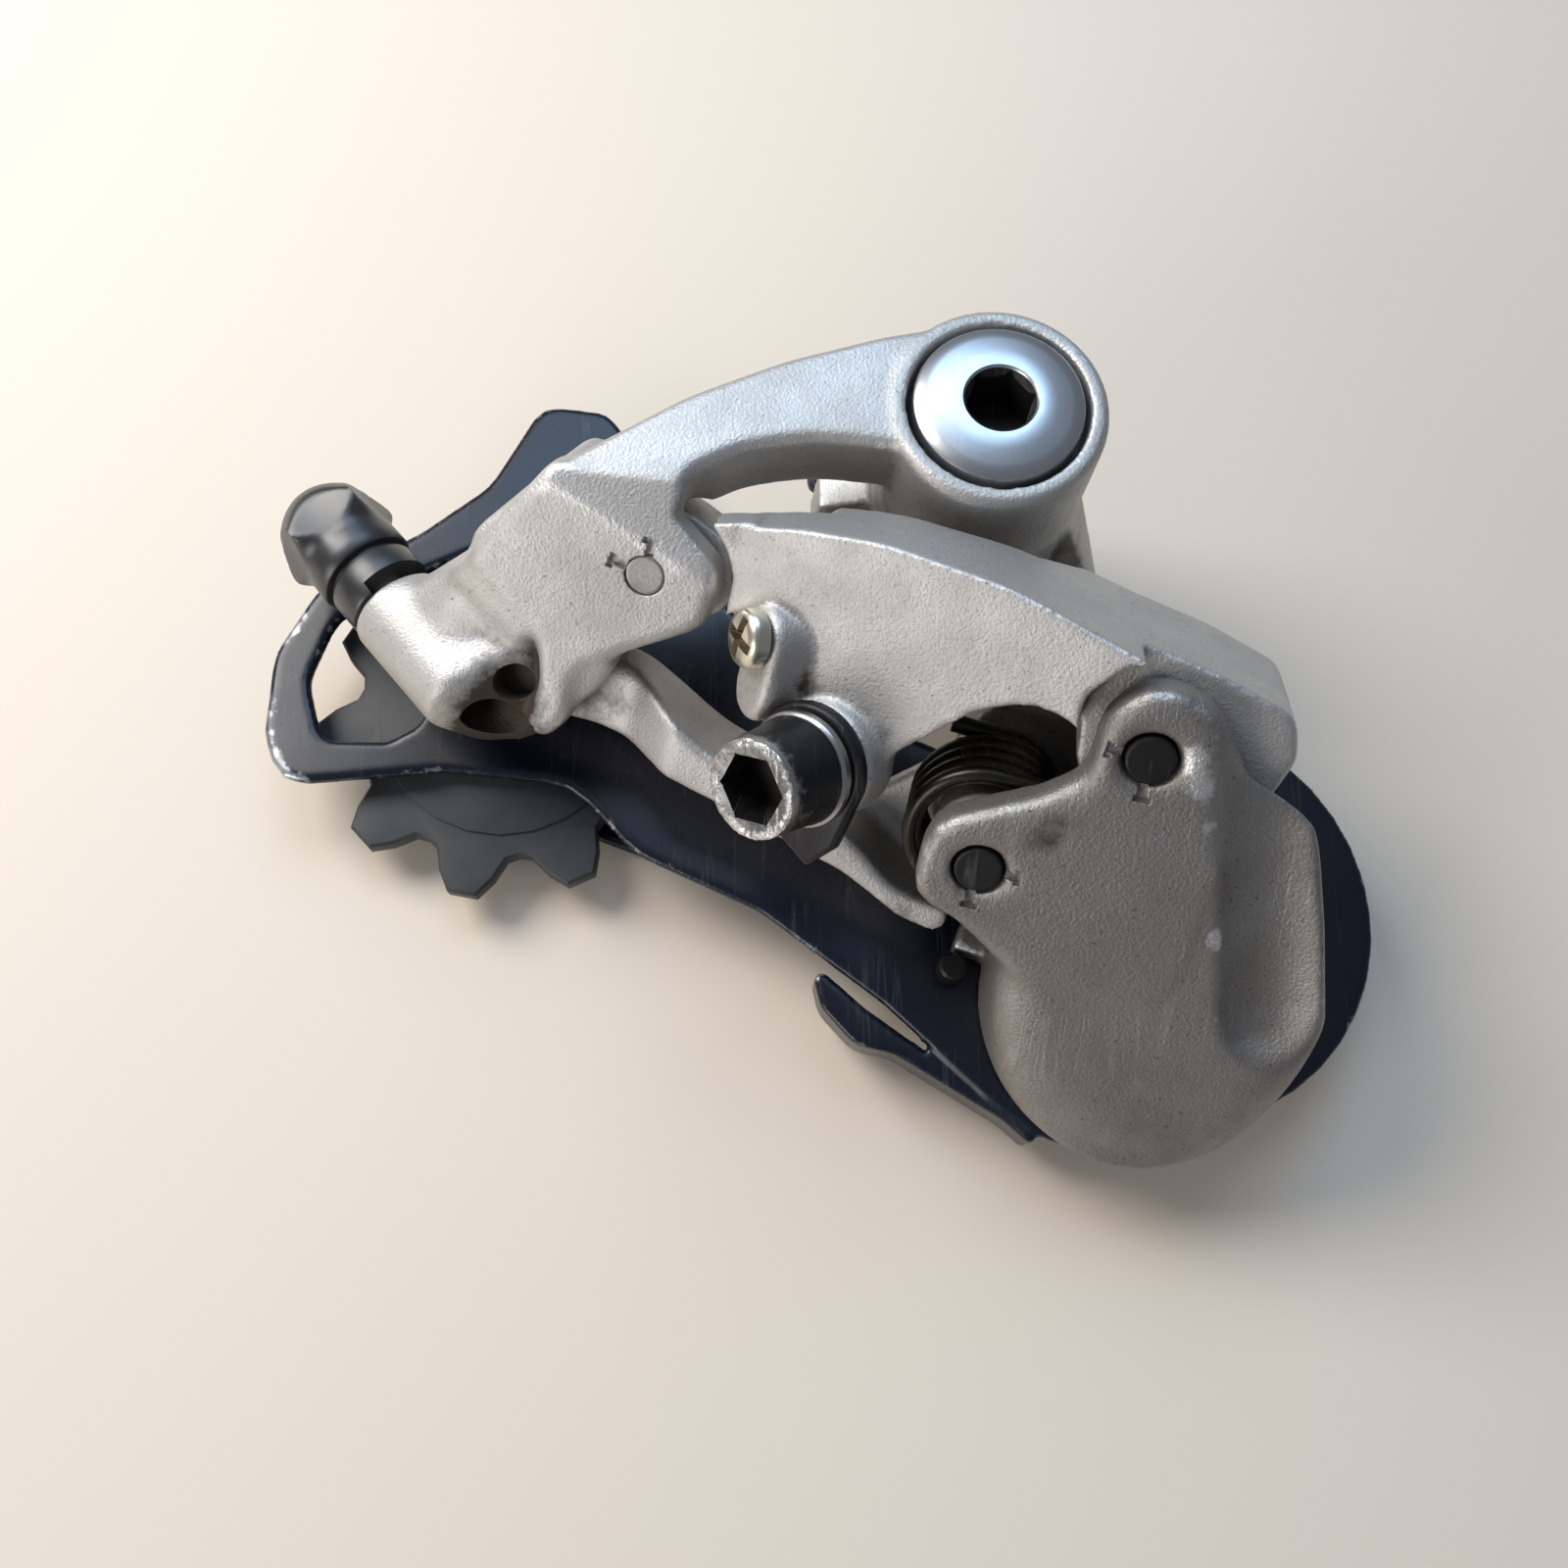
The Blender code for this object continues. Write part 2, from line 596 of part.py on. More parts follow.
    cut(knuckle, rod(LIMIT_SHANK_RADIUS + FIT_GAP, -12.0, 12.0, tension_screw_frame(), 16))
    return knuckle


def tension_screw_frame():
    """Frame of the screw that presses on the stop plate's tab; the axis points to its head."""
    tip = Vector((-14.2, 8.0 - FIT_GAP, BOSS_BOTTOM + 4.6))
    return frame(tip, (0.0, 0.0, 1.0), (0.0, -1.0, 0.0))


def headed_screw(matrix, shank, length, head, name):
    """Pan-head screw from its tip at 0 to its head, with a driver slot."""
    screw = lathe([
        (0.0, 0.0), (shank - 0.4, 0.0), (shank, 0.5), (shank, length), (head, length),
        (head, length + 1.2), (head * 0.72, length + 1.9), (0.0, length + 2.1),
    ], matrix, 18, name=name)
    slot = [(-0.4, -2.8), (0.4, -2.8), (0.4, 2.8), (-0.4, 2.8)]
    return cut(screw, prism(slot, length + 1.0, length + 3.0, matrix))


def pin(place, low, high, name):
    return rod(PIN_RADIUS, low, high, pin_frame(place), 18, rim=0.3, name=name)


def limit_frame(shift=(0.0, 0.0, 0.0)):
    """Frame of a limit screw: the seat of its head, with the axis pointing out of the lug."""
    place = Vector(LIMIT_HIGH_AT) + Vector(shift)
    return leaning(place, -LIMIT_LEAN)


def clamp_frame():
    return leaning(CLAMP_SEAT, CLAMP_LEAN)


def outer_link():
    length = LINK_LENGTH
    clamp_u = CLAMP_SEAT[0]
    outline = rounded([
        (0.0, LINK_EYE_RADIUS, 3.0), (-LINK_EYE_RADIUS, 3.5, 3.0), (-LINK_EYE_RADIUS, -3.5, 3.0),
        (0.0, -LINK_EYE_RADIUS, 3.0), (7.0, -4.2, 3.0), (9.6, 0.4, 2.0), (15.0, -3.6, 4.0),
        (clamp_u - 4.2, -7.6, 3.0), (clamp_u - 1.8, -14.6, 3.0), (clamp_u + 3.4, -16.6, 2.5),
        (clamp_u + 6.8, -8.8, 8.0), (length - 15.8, -1.2, 8.0), (length - 11.0, 1.4, 5.0),
        (length - 6.4, 0.6, 2.0), (length - 5.5, -5.2, 3.0), (length, -7.4, 4.0), (length + 6.0, -6.6, 4.0),
        (length + LINK_END_RADIUS - 1.4, -4.0, 3.0), (length + LINK_END_RADIUS, 1.6, 2.0),
        (length + LINK_END_RADIUS - 1.6, 5.6, 2.5), (length + 4.0, 7.6, 20.0), (length - 3.4, 8.6, 20.0),
        (length - 16.0, 10.8, 30.0), (22.0, 10.8, 20.0), (14.0, 9.4, 20.0), (8.7, 7.8, 1.0),
    ])
    link = prism(outline, REAR_LINK_BACK, 1.0, LINK, name="outer_link")
    side = [
        (-9.0, -REAR_LINK_FRONT), (8.6, -REAR_LINK_FRONT), (8.6, 9.0), (length - 3.2, 0.5),
        (length - 3.2, -FRONT_LINK_FRONT), (length + 16.0, -FRONT_LINK_FRONT),
        (length + 16.0, -FRONT_LINK_BACK), (length - 9.0, -FRONT_LINK_BACK), (length - 14.0, 16.6),
        (13.0, 17.2), (9.5, -REAR_LINK_BACK), (-9.0, -REAR_LINK_BACK),
    ]
    across = LINK @ Matrix.Rotation(math.radians(90.0), 4, "X")
    keep(link, prism([(u, -w) for u, w in side], -40.0, 40.0, across))

    clamp = clamp_frame()
    add(link, rod(CLAMP_BOSS_RADIUS, -5.0, 0.0, clamp, 32))
    pad = arc((0.0, 0.0), LIMIT_LUG_RADIUS, 0.0, 180.0, 8)
    pad += arc((0.0, -LIMIT_LUG_DROP), LIMIT_LUG_RADIUS, 180.0, 360.0, 8)
    add(link, prism(pad, -LIMIT_LENGTH + 1.0, -FIT_GAP, limit_frame(), rim=0.6))
    add(link, rod(LIMIT_LUG_RADIUS, -LIMIT_LENGTH + 1.0, -FIT_GAP, limit_frame(LIMIT_LOW_SHIFT), 20))
    ear_room = rounded([
        (length - 6.2, -4.0, 3.0), (length - 7.2, 3.6, 3.0), (length - 4.4, 8.0, 3.0),
        (length + 30.0, 12.0, 0.0), (length + 30.0, -20.0, 0.0), (length - 6.0, -20.0, 0.0),
    ])
    cut(link, prism(ear_room, FRONT_LINK_FRONT - FACE_RELIEF, 20.0, LINK))
    cut(link, rod(CLAMP_PLATE_RADIUS + FIT_GAP, 0.0, 9.0, clamp, 28))
    cut(link, rod(CABLE_BOLT_RADIUS + FIT_GAP, -14.0, 4.0, clamp, 20))
    for shift in ((0.0, 0.0, 0.0), LIMIT_LOW_SHIFT):
        cut(link, rod(LIMIT_SHANK_RADIUS + FIT_GAP, -LIMIT_LENGTH - 1.6, 3.0, limit_frame(shift), 16))
        cut(link, rod(LIMIT_HEAD_RADIUS + 0.5, -FIT_GAP / 2.0, 4.0, limit_frame(shift), 18))
    hollow = rounded([
        (9.5, 6.6, 1.5), (10.5, 2.6, 1.5), (18.0, -1.6, 2.0), (length - 22.0, -2.5, 2.0),
        (length - 16.0, 3.6, 3.0), (length - 9.0, 4.6, 2.0), (length - 9.0, 6.4, 1.5),
        (length - 16.0, 7.8, 4.0), (22.0, 7.8, 4.0),
    ])
    cut(link, prism(hollow, REAR_LINK_BACK - 2.0, REAR_LINK_FRONT + 0.9, LINK))
    relief = [(-0.5, 6.3), (3.0, 5.2), (6.0, 4.0), (12.5, 5.4), (18.5, 12.5), (-0.5, 12.5)]
    cut(link, prism(relief, REAR_LINK_BACK - 2.0, REAR_LINK_FRONT + 0.6, LINK))
    pin_holes(link, (REAR_OUTER, FRONT_OUTER), REAR_LINK_BACK - 2.0, 4.0)
    return link


def cable_clamp():
    """Keyed washer with the pointed tab that keeps the inner cable in line."""
    outline = arc((0.0, 0.0), CLAMP_PLATE_RADIUS, 0.0, 236.0, 22)
    outline += [(-1.2, -8.2), (2.8, -9.8), (5.2, -6.6)]
    plate = prism(outline, FIT_GAP, FIT_GAP + CLAMP_PLATE_THICKNESS, clamp_frame(), rim=0.3,
                  name="cable_clamp_plate")
    cut(plate, rod(CABLE_BOLT_RADIUS + FIT_GAP, -1.0, 4.0, clamp_frame(), 20))
    return plate


def cable_bolt():
    low = FIT_GAP * 2.0 + CLAMP_PLATE_THICKNESS
    top = low + CABLE_FLANGE_THICKNESS + CABLE_HEAD_HEIGHT
    matrix = clamp_frame()
    bolt = lathe([
        (0.0, -8.6), (CABLE_BOLT_RADIUS - 0.5, -8.6), (CABLE_BOLT_RADIUS, -8.0), (CABLE_BOLT_RADIUS, low),
        (CABLE_FLANGE_RADIUS, low), (CABLE_FLANGE_RADIUS, low + CABLE_FLANGE_THICKNESS),
        (CABLE_HEAD_RADIUS + 0.3, low + CABLE_FLANGE_THICKNESS), (CABLE_HEAD_RADIUS, top - 0.4),
        (CABLE_HEAD_RADIUS - 0.3, top), (0.0, top),
    ], matrix, 26, name="cable_bolt")
    cut(bolt, hexagon(CABLE_HEX_FLATS, top - 4.4, top + 1.0, matrix))
    return bolt


def inner_link():
    u0, v0 = REAR_INNER
    u1, v1 = FRONT_INNER
    band = rounded([
        (u0 - 3.4, v0 + 3.4, 2.0), (u0 + 3.0, v0 + 4.6, 3.0), (u0 + 12.0, v0 + 3.0, 5.0),
        (u0 + 21.0, v0 - 1.6, 10.0), (u1 - 12.5, v1 - 5.4, 8.0), (u1 - 6.6, v1 - 9.8, 4.0),
        (u1 - 0.4, v1 - 10.2, 1.0), (u1 - 0.8, v1 - 13.4, 2.0), (u1 - 5.5, v1 - 13.0, 6.0),
        (u1 - 12.0, v1 - 10.2, 10.0), (u0 + 22.0, v0 - 6.8, 10.0), (u0 + 8.0, v0 - 4.4, 6.0),
        (u0 - 2.0, v0 - 4.8, 3.0), (u0 - 4.6, v0 - 1.0, 2.0),
    ])
    link = prism(band, FRONT_LINK_BACK - 1.5, -8.0, LINK, name="inner_link")
    side = [
        (u0 - 8.0, REAR_LINK_FRONT), (u0 + 11.4, REAR_LINK_FRONT), (u0 + 17.0, -11.0), (u1 + 12.0, -8.0),
        (u1 + 12.0, FRONT_LINK_BACK), (u1 - 12.0, FRONT_LINK_BACK), (u0 + 16.0, REAR_LINK_BACK),
        (u0 - 8.0, REAR_LINK_BACK),
    ]
    across = LINK @ Matrix.Rotation(math.radians(90.0), 4, "X")
    keep(link, prism([(u, w) for u, w in side], -60.0, 60.0, across))
    web = rounded([
        (u1 - 14.0, v1 - 6.0, 1.0), (u1 - 5.0, v1 + 3.0, 4.0), (u1, v1 + INNER_SLEEVE_RADIUS, 3.0),
        (u1 + INNER_SLEEVE_RADIUS, v1 + 2.0, 3.0), (u1 + INNER_SLEEVE_RADIUS, v1 - 4.0, 3.0),
        (u1 + 1.0, v1 - 11.0, 1.0), (u1 - 8.0, v1 - 11.0, 1.0),
    ])
    add(link, prism(web, FRONT_LINK_BACK + FACE_RELIEF * 2.0, FRONT_LINK_BACK + 2.8, LINK))
    sleeve_low = FRONT_LINK_BACK + FACE_RELIEF
    add(link, rod(INNER_SLEEVE_RADIUS, sleeve_low, FRONT_LINK_FRONT, pin_frame(FRONT_INNER), 28))
    eye_low = REAR_LINK_BACK + FACE_RELIEF
    eye_high = REAR_LINK_FRONT - FACE_RELIEF
    add(link, rod(INNER_EYE_RADIUS, eye_low, eye_high, pin_frame(REAR_INNER), 28))
    pin_holes(link, (REAR_INNER, FRONT_INNER), REAR_LINK_BACK - 4.0, 4.0)
    cut(link, half_space_below(CAGE_TOP + SWEEP_GAP))
    return link


def slanted_bell():
    """A round bell whose top follows the slanted plane of the pin faces, with a rounded rim."""
    axis_top = ((LINK @ Vector((0.0, 0.0, -FACE_RELIEF))) - PIVOT).dot(PIN_AXIS) / PIN_AXIS.z
    bell = lathe([
        (0.0, BELL_BOTTOM), (BELL_RADIUS - 0.8, BELL_BOTTOM), (BELL_RADIUS, BELL_BOTTOM + 0.8),
        (BELL_RADIUS, axis_top - BELL_RIM), (BELL_RADIUS - BELL_RIM * 0.3, axis_top - BELL_RIM * 0.3),
        (BELL_RADIUS - BELL_RIM, axis_top), (0.0, axis_top),
    ], at(PIVOT), 40, name="pivot_knuckle")
    for point in bell.data.vertices:
        place = point.co / MM
        place.x = PIVOT.x + (place.x - PIVOT.x) * BELL_WIDTH_SHARE
        if place.z > BELL_BOTTOM + 1.0:
            lean = PIN_AXIS.x * (place.x - PIVOT.x) + PIN_AXIS.y * (place.y - PIVOT.y)
            place.z = max(place.z - lean / PIN_AXIS.z, BELL_BOTTOM + 1.0)
        point.co = place * MM
    return bell


def pivot_knuckle():
    length = LINK_LENGTH
    knuckle = slanted_bell()
    face = rounded([
        (length - 4.9, -3.6, 3.0), (length - 5.0, 2.4, 4.0), (length - 2.6, 6.5, 4.0),
        (length + 3.8, 6.8, 5.5), (length + 9.0, 0.6, 6.0), (length + 10.2, -9.0, 6.0),
        (length + 10.6, -24.0, 4.0), (length + 3.0, -27.0, 4.0), (length - 4.4, -26.4, 8.0),
        (length - 7.0, -25.0, 8.0), (length - 12.2, -21.6, 5.0), (length - 16.8, -20.4, 4.5),
        (length - 17.2, -12.4, 4.5), (length - 12.4, -9.4, 4.0), (length - 8.2, -6.8, 4.0),
    ])
    add(knuckle, prism(face, -FRONT_EAR_THICKNESS, 0.0, LINK, rim=0.8))
    back = rounded([
        (length - 6.0, 5.2, 5.0), (length + 6.5, 5.2, 6.0), (length + 12.5, -6.0, 6.0),
        (length + 12.5, -21.0, 0.0), (length - 12.0, -21.0, 4.0), (length - 16.6, -18.0, 4.0),
        (length - 15.6, -10.6, 4.0),
    ])
    add(knuckle, prism(back, FRONT_BACK_W, FRONT_BACK_FACE, LINK))
    cut(knuckle, half_space_below(BELL_BOTTOM + FACE_RELIEF / 2.0))

    slot_low = FRONT_BACK_FACE - FACE_RELIEF
    slot_high = -FRONT_EAR_THICKNESS + FACE_RELIEF
    end_room = LINK_END_RADIUS + 0.9
    cut(knuckle, rod(end_room, slot_low, slot_high, pin_frame(FRONT_OUTER), 36))
    spring_room = SPRING_MEAN_RADIUS + SPRING_WIRE / 2.0 + SWEEP_GAP
    slot_low -= FACE_RELIEF
    slot_high += FACE_RELIEF
    cut(knuckle, rod(spring_room, slot_low, slot_high, pin_frame(FRONT_INNER), 28))
    flank = [
        (length + 14.4, 2.6), (length + 21.3, -12.8), (length + 24.8, -21.6), (length + 40.0, -21.6),
        (length + 40.0, 30.0), (length + 14.4, 30.0),
    ]
    cut(knuckle, prism(flank, -50.0, 10.0, LINK))
    trough = shifted((length + 16.7, -13.0, 4.2))
    trough = trough @ Matrix.Rotation(TROUGH_TURN, 4, "Z") @ Matrix.Rotation(math.radians(90.0), 4, "X")
    cut(knuckle, lathe([
        (0.0, -46.0), (7.0, -46.0), (7.0, 9.5), (6.4, 12.5), (4.9, 14.6), (2.7, 16.0), (0.0, 16.5),
    ], trough, 28))

    stop = math.degrees(STOP_ANGLE)
    half = math.degrees((STOP_PIN_RADIUS + FIT_GAP) / stop_radius())
    low = stop - half - 12.0
    high = stop - half
    lug = arc((PIVOT.x, PIVOT.y), BELL_RADIUS + 2.6, low, high, 4)
    lug += arc((PIVOT.x, PIVOT.y), BELL_RADIUS - 2.0, high, low, 4)
    add(knuckle, prism(lug, BELL_BOTTOM + FACE_RELIEF, BELL_BOTTOM + 3.6))

    pin_holes(knuckle, (FRONT_OUTER, FRONT_INNER), FRONT_BACK_W - 2.0, 2.0)
    cut(knuckle, lathe([
        (0.0, BELL_BOTTOM - 1.0), (PIVOT_AXLE_RADIUS + 2.8, BELL_BOTTOM - 1.0),
        (PIVOT_AXLE_RADIUS + 2.8, BELL_BOTTOM + 1.6), (PIVOT_AXLE_RADIUS + FIT_GAP, BELL_BOTTOM + 1.6),
        (PIVOT_AXLE_RADIUS + FIT_GAP, PIVOT_AXLE_TOP + FIT_GAP), (0.0, PIVOT_AXLE_TOP + FIT_GAP),
    ], at(PIVOT), 24))
    cut(knuckle, lathe([
        (SEAL_INNER - FIT_GAP, BELL_BOTTOM - 1.0), (SEAL_OUTER + FIT_GAP, BELL_BOTTOM - 1.0),
        (SEAL_OUTER + FIT_GAP, BELL_BOTTOM + 1.4), (SEAL_INNER - FIT_GAP, BELL_BOTTOM + 1.4),
    ], at(PIVOT), 28, closed=True))
    return knuckle


def stop_radius():
    return BELL_RADIUS + STOP_PIN_RADIUS + FIT_GAP + 0.3


def pivot_seal():
    low = CAGE_TOP + FIT_GAP
    high = BELL_BOTTOM + 1.1
    return lathe([
        (SEAL_INNER, low), (SEAL_OUTER, low), (SEAL_OUTER, high), (SEAL_INNER, high),
    ], at(PIVOT), 28, closed=True, name="pivot_seal")


def spring_points():
    """Centre line of the link spring, in the link frame: a leg, the curls, and a leg."""
    center_u, center_v = FRONT_INNER
    per_curl = 9
    start_w = FRONT_LINK_FRONT - SPRING_WIRE / 2.0 - FIT_GAP
    points = []
    leg = SPRING_WIRE * 3.0
    points.append((center_u + leg, center_v + SPRING_MEAN_RADIUS, start_w))
    points.append((center_u + leg / 2.0, center_v + SPRING_MEAN_RADIUS, start_w))
    total = per_curl * SPRING_CURLS
    for index in range(total + 1):
        angle = math.radians(90.0) + 2.0 * math.pi * index / per_curl
        points.append((
            center_u + SPRING_MEAN_RADIUS * math.cos(angle),
            center_v + SPRING_MEAN_RADIUS * math.sin(angle),
            start_w - SPRING_PITCH * index / per_curl,
        ))
    end_w = start_w - SPRING_PITCH * SPRING_CURLS
    points.append((center_u - leg / 2.0, center_v + SPRING_MEAN_RADIUS, end_w))
    points.append((center_u - leg, center_v + SPRING_MEAN_RADIUS, end_w))
    return [Vector(point) for point in points]


def link_spring():
    points = spring_points()
    least = 1000.0
    for first in range(len(points)):
        for second in range(first + 5, len(points)):
            least = min(least, (points[first] - points[second]).length)
    print("link spring: least gap to itself %.2f mm" % (least - SPRING_WIRE))
    data = bpy.data.curves.new("link_spring", "CURVE")
    data.dimensions = "3D"
    data.bevel_depth = SPRING_WIRE / 2.0 * MM
    data.bevel_resolution = 1
    data.use_fill_caps = True
    data.twist_mode = "MINIMUM"
    line = data.splines.new("POLY")
    line.points.add(len(points) - 1)
    for target, point in zip(line.points, points):
        place = LINK @ point * MM
        target.co = (place.x, place.y, place.z, 1.0)
    spring = bpy.data.objects.new("link_spring", data)
    bpy.context.scene.collection.objects.link(spring)
    return spring


def barrel_adjuster():
    """Hand knob on the cable boss: lobed grip, sleeve and ribbed collar, hollow for the stem."""
    matrix = cable_frame()
    low = CABLE_BOSS_LENGTH + FIT_GAP
    sleeve = low + COLLAR_LENGTH
    grip = sleeve + SLEEVE_LENGTH
    top = grip + GRIP_LENGTH
    knob = lathe([
        (0.0, low), (COLLAR_RADIUS, low), (COLLAR_RADIUS, sleeve - 0.4), (COLLAR_RADIUS - 0.5, sleeve - 0.2),
        (COLLAR_RADIUS - 0.5, sleeve + 0.2), (SLEEVE_RADIUS, sleeve + 0.4), (SLEEVE_RADIUS, grip + 0.6),
        (0.0, grip + 0.6),
    ], matrix, 22, name="barrel_adjuster")
    lobes = []
    samples = GRIP_LOBES * 7
    for index in range(samples):
        angle = 2.0 * math.pi * index / samples
        wave = 0.5 + 0.5 * math.cos(GRIP_LOBES * angle)
        radius = GRIP_RADIUS - 1.7 * (1.0 - wave) ** 1.5
        lobes.append((radius * math.cos(angle), radius * math.sin(angle)))
    add(knob, prism(lobes, grip, top, matrix, rim=0.7))
    cut(knob, rod(STEM_RADIUS + FIT_GAP, low - 2.0, top - 2.4, matrix, 20))
    cut(knob, rod(STEM_RADIUS + 0.6, top - 1.6, top + 2.0, matrix, 20))
    cut(knob, rod(STEM_BORE, low, top + 2.0, matrix, 16))
    return knob


def adjuster_stem():
    matrix = cable_frame()
    high = CABLE_BOSS_LENGTH + COLLAR_LENGTH + SLEEVE_LENGTH + 2.0
    return lathe([
        (STEM_BORE, 1.0), (STEM_RADIUS, 1.0), (STEM_RADIUS, high), (STEM_BORE, high),
    ], matrix, 20, closed=True, name="adjuster_stem")


def from_tension(x, y, radius=0.0):
    """Point given from the tension pulley's centre."""
    return (TENSION.x + x, TENSION.y + y, radius)


def from_pivot(x, y, radius=0.0):
    return (PIVOT.x + x, PIVOT.y + y, radius)


def outer_cage_plate():
    lower_edge = [
        from_tension(-24.0, -10.0, 4.0), from_tension(-6.0, -8.2, 6.0), from_tension(8.0, -9.6, 8.0),
        from_tension(15.6, -17.6, 10.0), from_pivot(-39.0, 10.6, 10.0), from_pivot(-26.0, 0.9, 10.0),
        from_pivot(-15.0, -9.2, 6.0), from_pivot(-9.0, -13.6, 8.0), from_pivot(2.0, -15.8, 10.0),
        from_pivot(16.0, -9.0, 10.0),
    ]
    upper_edge = [
        from_pivot(20.0, 14.0, 10.0), from_pivot(-6.0, 24.0, 10.0), from_pivot(-34.0, 36.0, 14.0),
        from_tension(24.0, 14.0, 8.0), from_tension(16.0, 30.0, 6.0), from_tension(10.5, 37.5, 3.0),
        from_tension(2.6, 38.4, 3.0), from_tension(-3.0, 27.4, 8.0), from_tension(-10.6, 21.2, 8.0),
        from_tension(-21.4, 14.6, 8.0), from_tension(-26.0, 5.6, 6.0), from_tension(-26.2, -4.0, 6.0),
    ]
    plate = prism(rounded(lower_edge + upper_edge), OUTER_PLATE_BOTTOM, CAGE_TOP, rim=0.35,
                  name="cage_outer_plate")
    add(plate, rod(DISC_RADIUS, OUTER_PLATE_BOTTOM, CAGE_TOP, at(GUIDE), 38, rim=0.35))
    window = rounded([
        from_tension(-19.8, -4.8, 2.0), from_tension(-21.9, 2.4, 4.0), from_tension(-19.4, 10.0, 5.0),
        from_tension(-9.6, 16.2, 6.0), from_tension(1.0, 21.6, 6.0), from_tension(6.0, 29.0, 3.0),
        from_tension(11.5, 26.0, 4.0), from_tension(16.5, 14.0, 5.0), from_tension(9.5, 7.4, 5.0),
        from_tension(0.0, 8.8, 8.0), from_tension(-7.6, 5.0, 4.0), from_tension(-8.6, -2.6, 3.0),
        from_tension(-12.4, -4.8, 2.0),
    ])
    cut(plate, prism(window, 0.0, CAGE_TOP + 5.0))
    guard = rounded([
        from_pivot(-27.5, 0.2, 0.5), from_pivot(-33.6, 5.6, 1.2), from_pivot(-32.4, 0.4, 2.5),
        from_pivot(-28.8, -3.6, 3.0), from_pivot(-24.6, -4.6, 3.0), from_pivot(-13.4, -11.4, 4.0),
        from_pivot(-10.0, -14.4, 0.5), from_pivot(-10.2, -12.2, 0.5), from_pivot(-16.0, -8.0, 2.0),
    ])
    add(plate, prism(guard, OUTER_PLATE_BOTTOM - 5.2, OUTER_PLATE_BOTTOM + 0.8))
    for center in (GUIDE, TENSION):
        cut(plate, rod(PULLEY_BOLT_RADIUS + FIT_GAP, 0.0, CAGE_TOP + 2.0, at(center), 20))
    return plate


def inner_cage_plate():
    heading = math.degrees(CAGE_HEADING)
    outline = arc((GUIDE.x, GUIDE.y), 17.5, heading - 262.0, heading - 98.0, 16)
    outline += [from_pivot(-10.0, 24.0)[:2], from_tension(22.0, 4.0)[:2]]
    outline += arc((TENSION.x, TENSION.y), 9.0, heading - 90.0, heading + 90.0, 12)
    outline += [from_tension(20.0, -17.0)[:2], from_pivot(-26.0, 6.0)[:2]]
    plate = prism(outline, 0.0, INNER_PLATE, rim=0.35, name="cage_inner_plate")
    slot = rounded([
        from_tension(14.0, -2.0, 3.0), from_tension(24.0, 0.6, 3.0), from_pivot(-14.0, 17.0, 4.0),
        from_pivot(-18.0, 8.5, 4.0), from_tension(22.0, -12.0, 4.0),
    ])
    cut(plate, prism(slot, -1.0, INNER_PLATE + 1.0))
    for center in (GUIDE, TENSION):
        head = PULLEY_BOLT_RADIUS + 1.9
        cut(plate, lathe([
            (0.0, -1.0), (head + FIT_GAP, -1.0), (head + FIT_GAP, 0.2),
            (PULLEY_BOLT_RADIUS + FIT_GAP, INNER_PLATE + 0.2), (PULLEY_BOLT_RADIUS + FIT_GAP, 4.0),
            (0.0, 4.0),
        ], at(center), 24))
    return plate


def pulley_bolt(center, name):
    head = PULLEY_BOLT_RADIUS + 1.9
    bolt = lathe([
        (0.0, 0.1), (head - 0.2, 0.1), (head, 0.3), (PULLEY_BOLT_RADIUS, INNER_PLATE + 0.4),
        (PULLEY_BOLT_RADIUS, CAGE_TOP - 0.5), (PULLEY_BOLT_RADIUS - 0.4, CAGE_TOP - 0.1),
        (0.0, CAGE_TOP - 0.1),
    ], at(center), 18, name=name)
    cut(bolt, hexagon(3.0, -1.0, 1.6, at(center)))
    return bolt


def pulley_middle():
    return (INNER_PLATE + OUTER_PLATE_BOTTOM) / 2.0


def pulley(center, phase, name):
    """Chain pulley: toothed rim, thinner web with round holes and a hub with a raised ring."""
    middle = pulley_middle()
    outline = []
    step = 360.0 / PULLEY_TEETH
    shape = [
        (-0.50, PULLEY_ROOT), (-0.37, PULLEY_ROOT + 0.4), (-0.25, PULLEY_TIP - 2.0),
        (-0.12, PULLEY_TIP), (0.12, PULLEY_TIP), (0.25, PULLEY_TIP - 2.0),
        (0.37, PULLEY_ROOT + 0.4),
    ]
    for tooth in range(PULLEY_TEETH):
        for share, radius in shape:
            angle = math.radians(phase + step * (tooth + share))
            outline.append((radius * math.cos(angle), radius * math.sin(angle)))
    wheel = prism(outline, middle - TOOTH_WIDTH / 2.0, middle + TOOTH_WIDTH / 2.0, at(center), rim=0.3,
                  name=name)
    half = HUB_WIDTH / 2.0
    add(wheel, lathe([
        (0.0, middle - half), (HUB_RADIUS, middle - half), (HUB_RADIUS + 2.0, middle - 1.5),
        (HUB_RADIUS + 4.0, middle - 1.5), (HUB_RADIUS + 4.0, middle + 1.5), (HUB_RADIUS + 2.0, middle + 1.5),
        (HUB_RADIUS, middle + half), (0.0, middle + half),
    ], at(center), 24))
    cut(wheel, rod(PULLEY_BORE, 0.0, CAGE_TOP, at(center), 16))
    return wheel


def pulley_bushing(center, name):
    low = INNER_PLATE + FIT_GAP
    high = OUTER_PLATE_BOTTOM - FIT_GAP
    inner = PULLEY_BOLT_RADIUS + FIT_GAP
    outer = PULLEY_BORE - FIT_GAP
    return lathe([(inner, low), (outer, low), (outer, high), (inner, high)], at(center), 16, closed=True,
                 name=name)


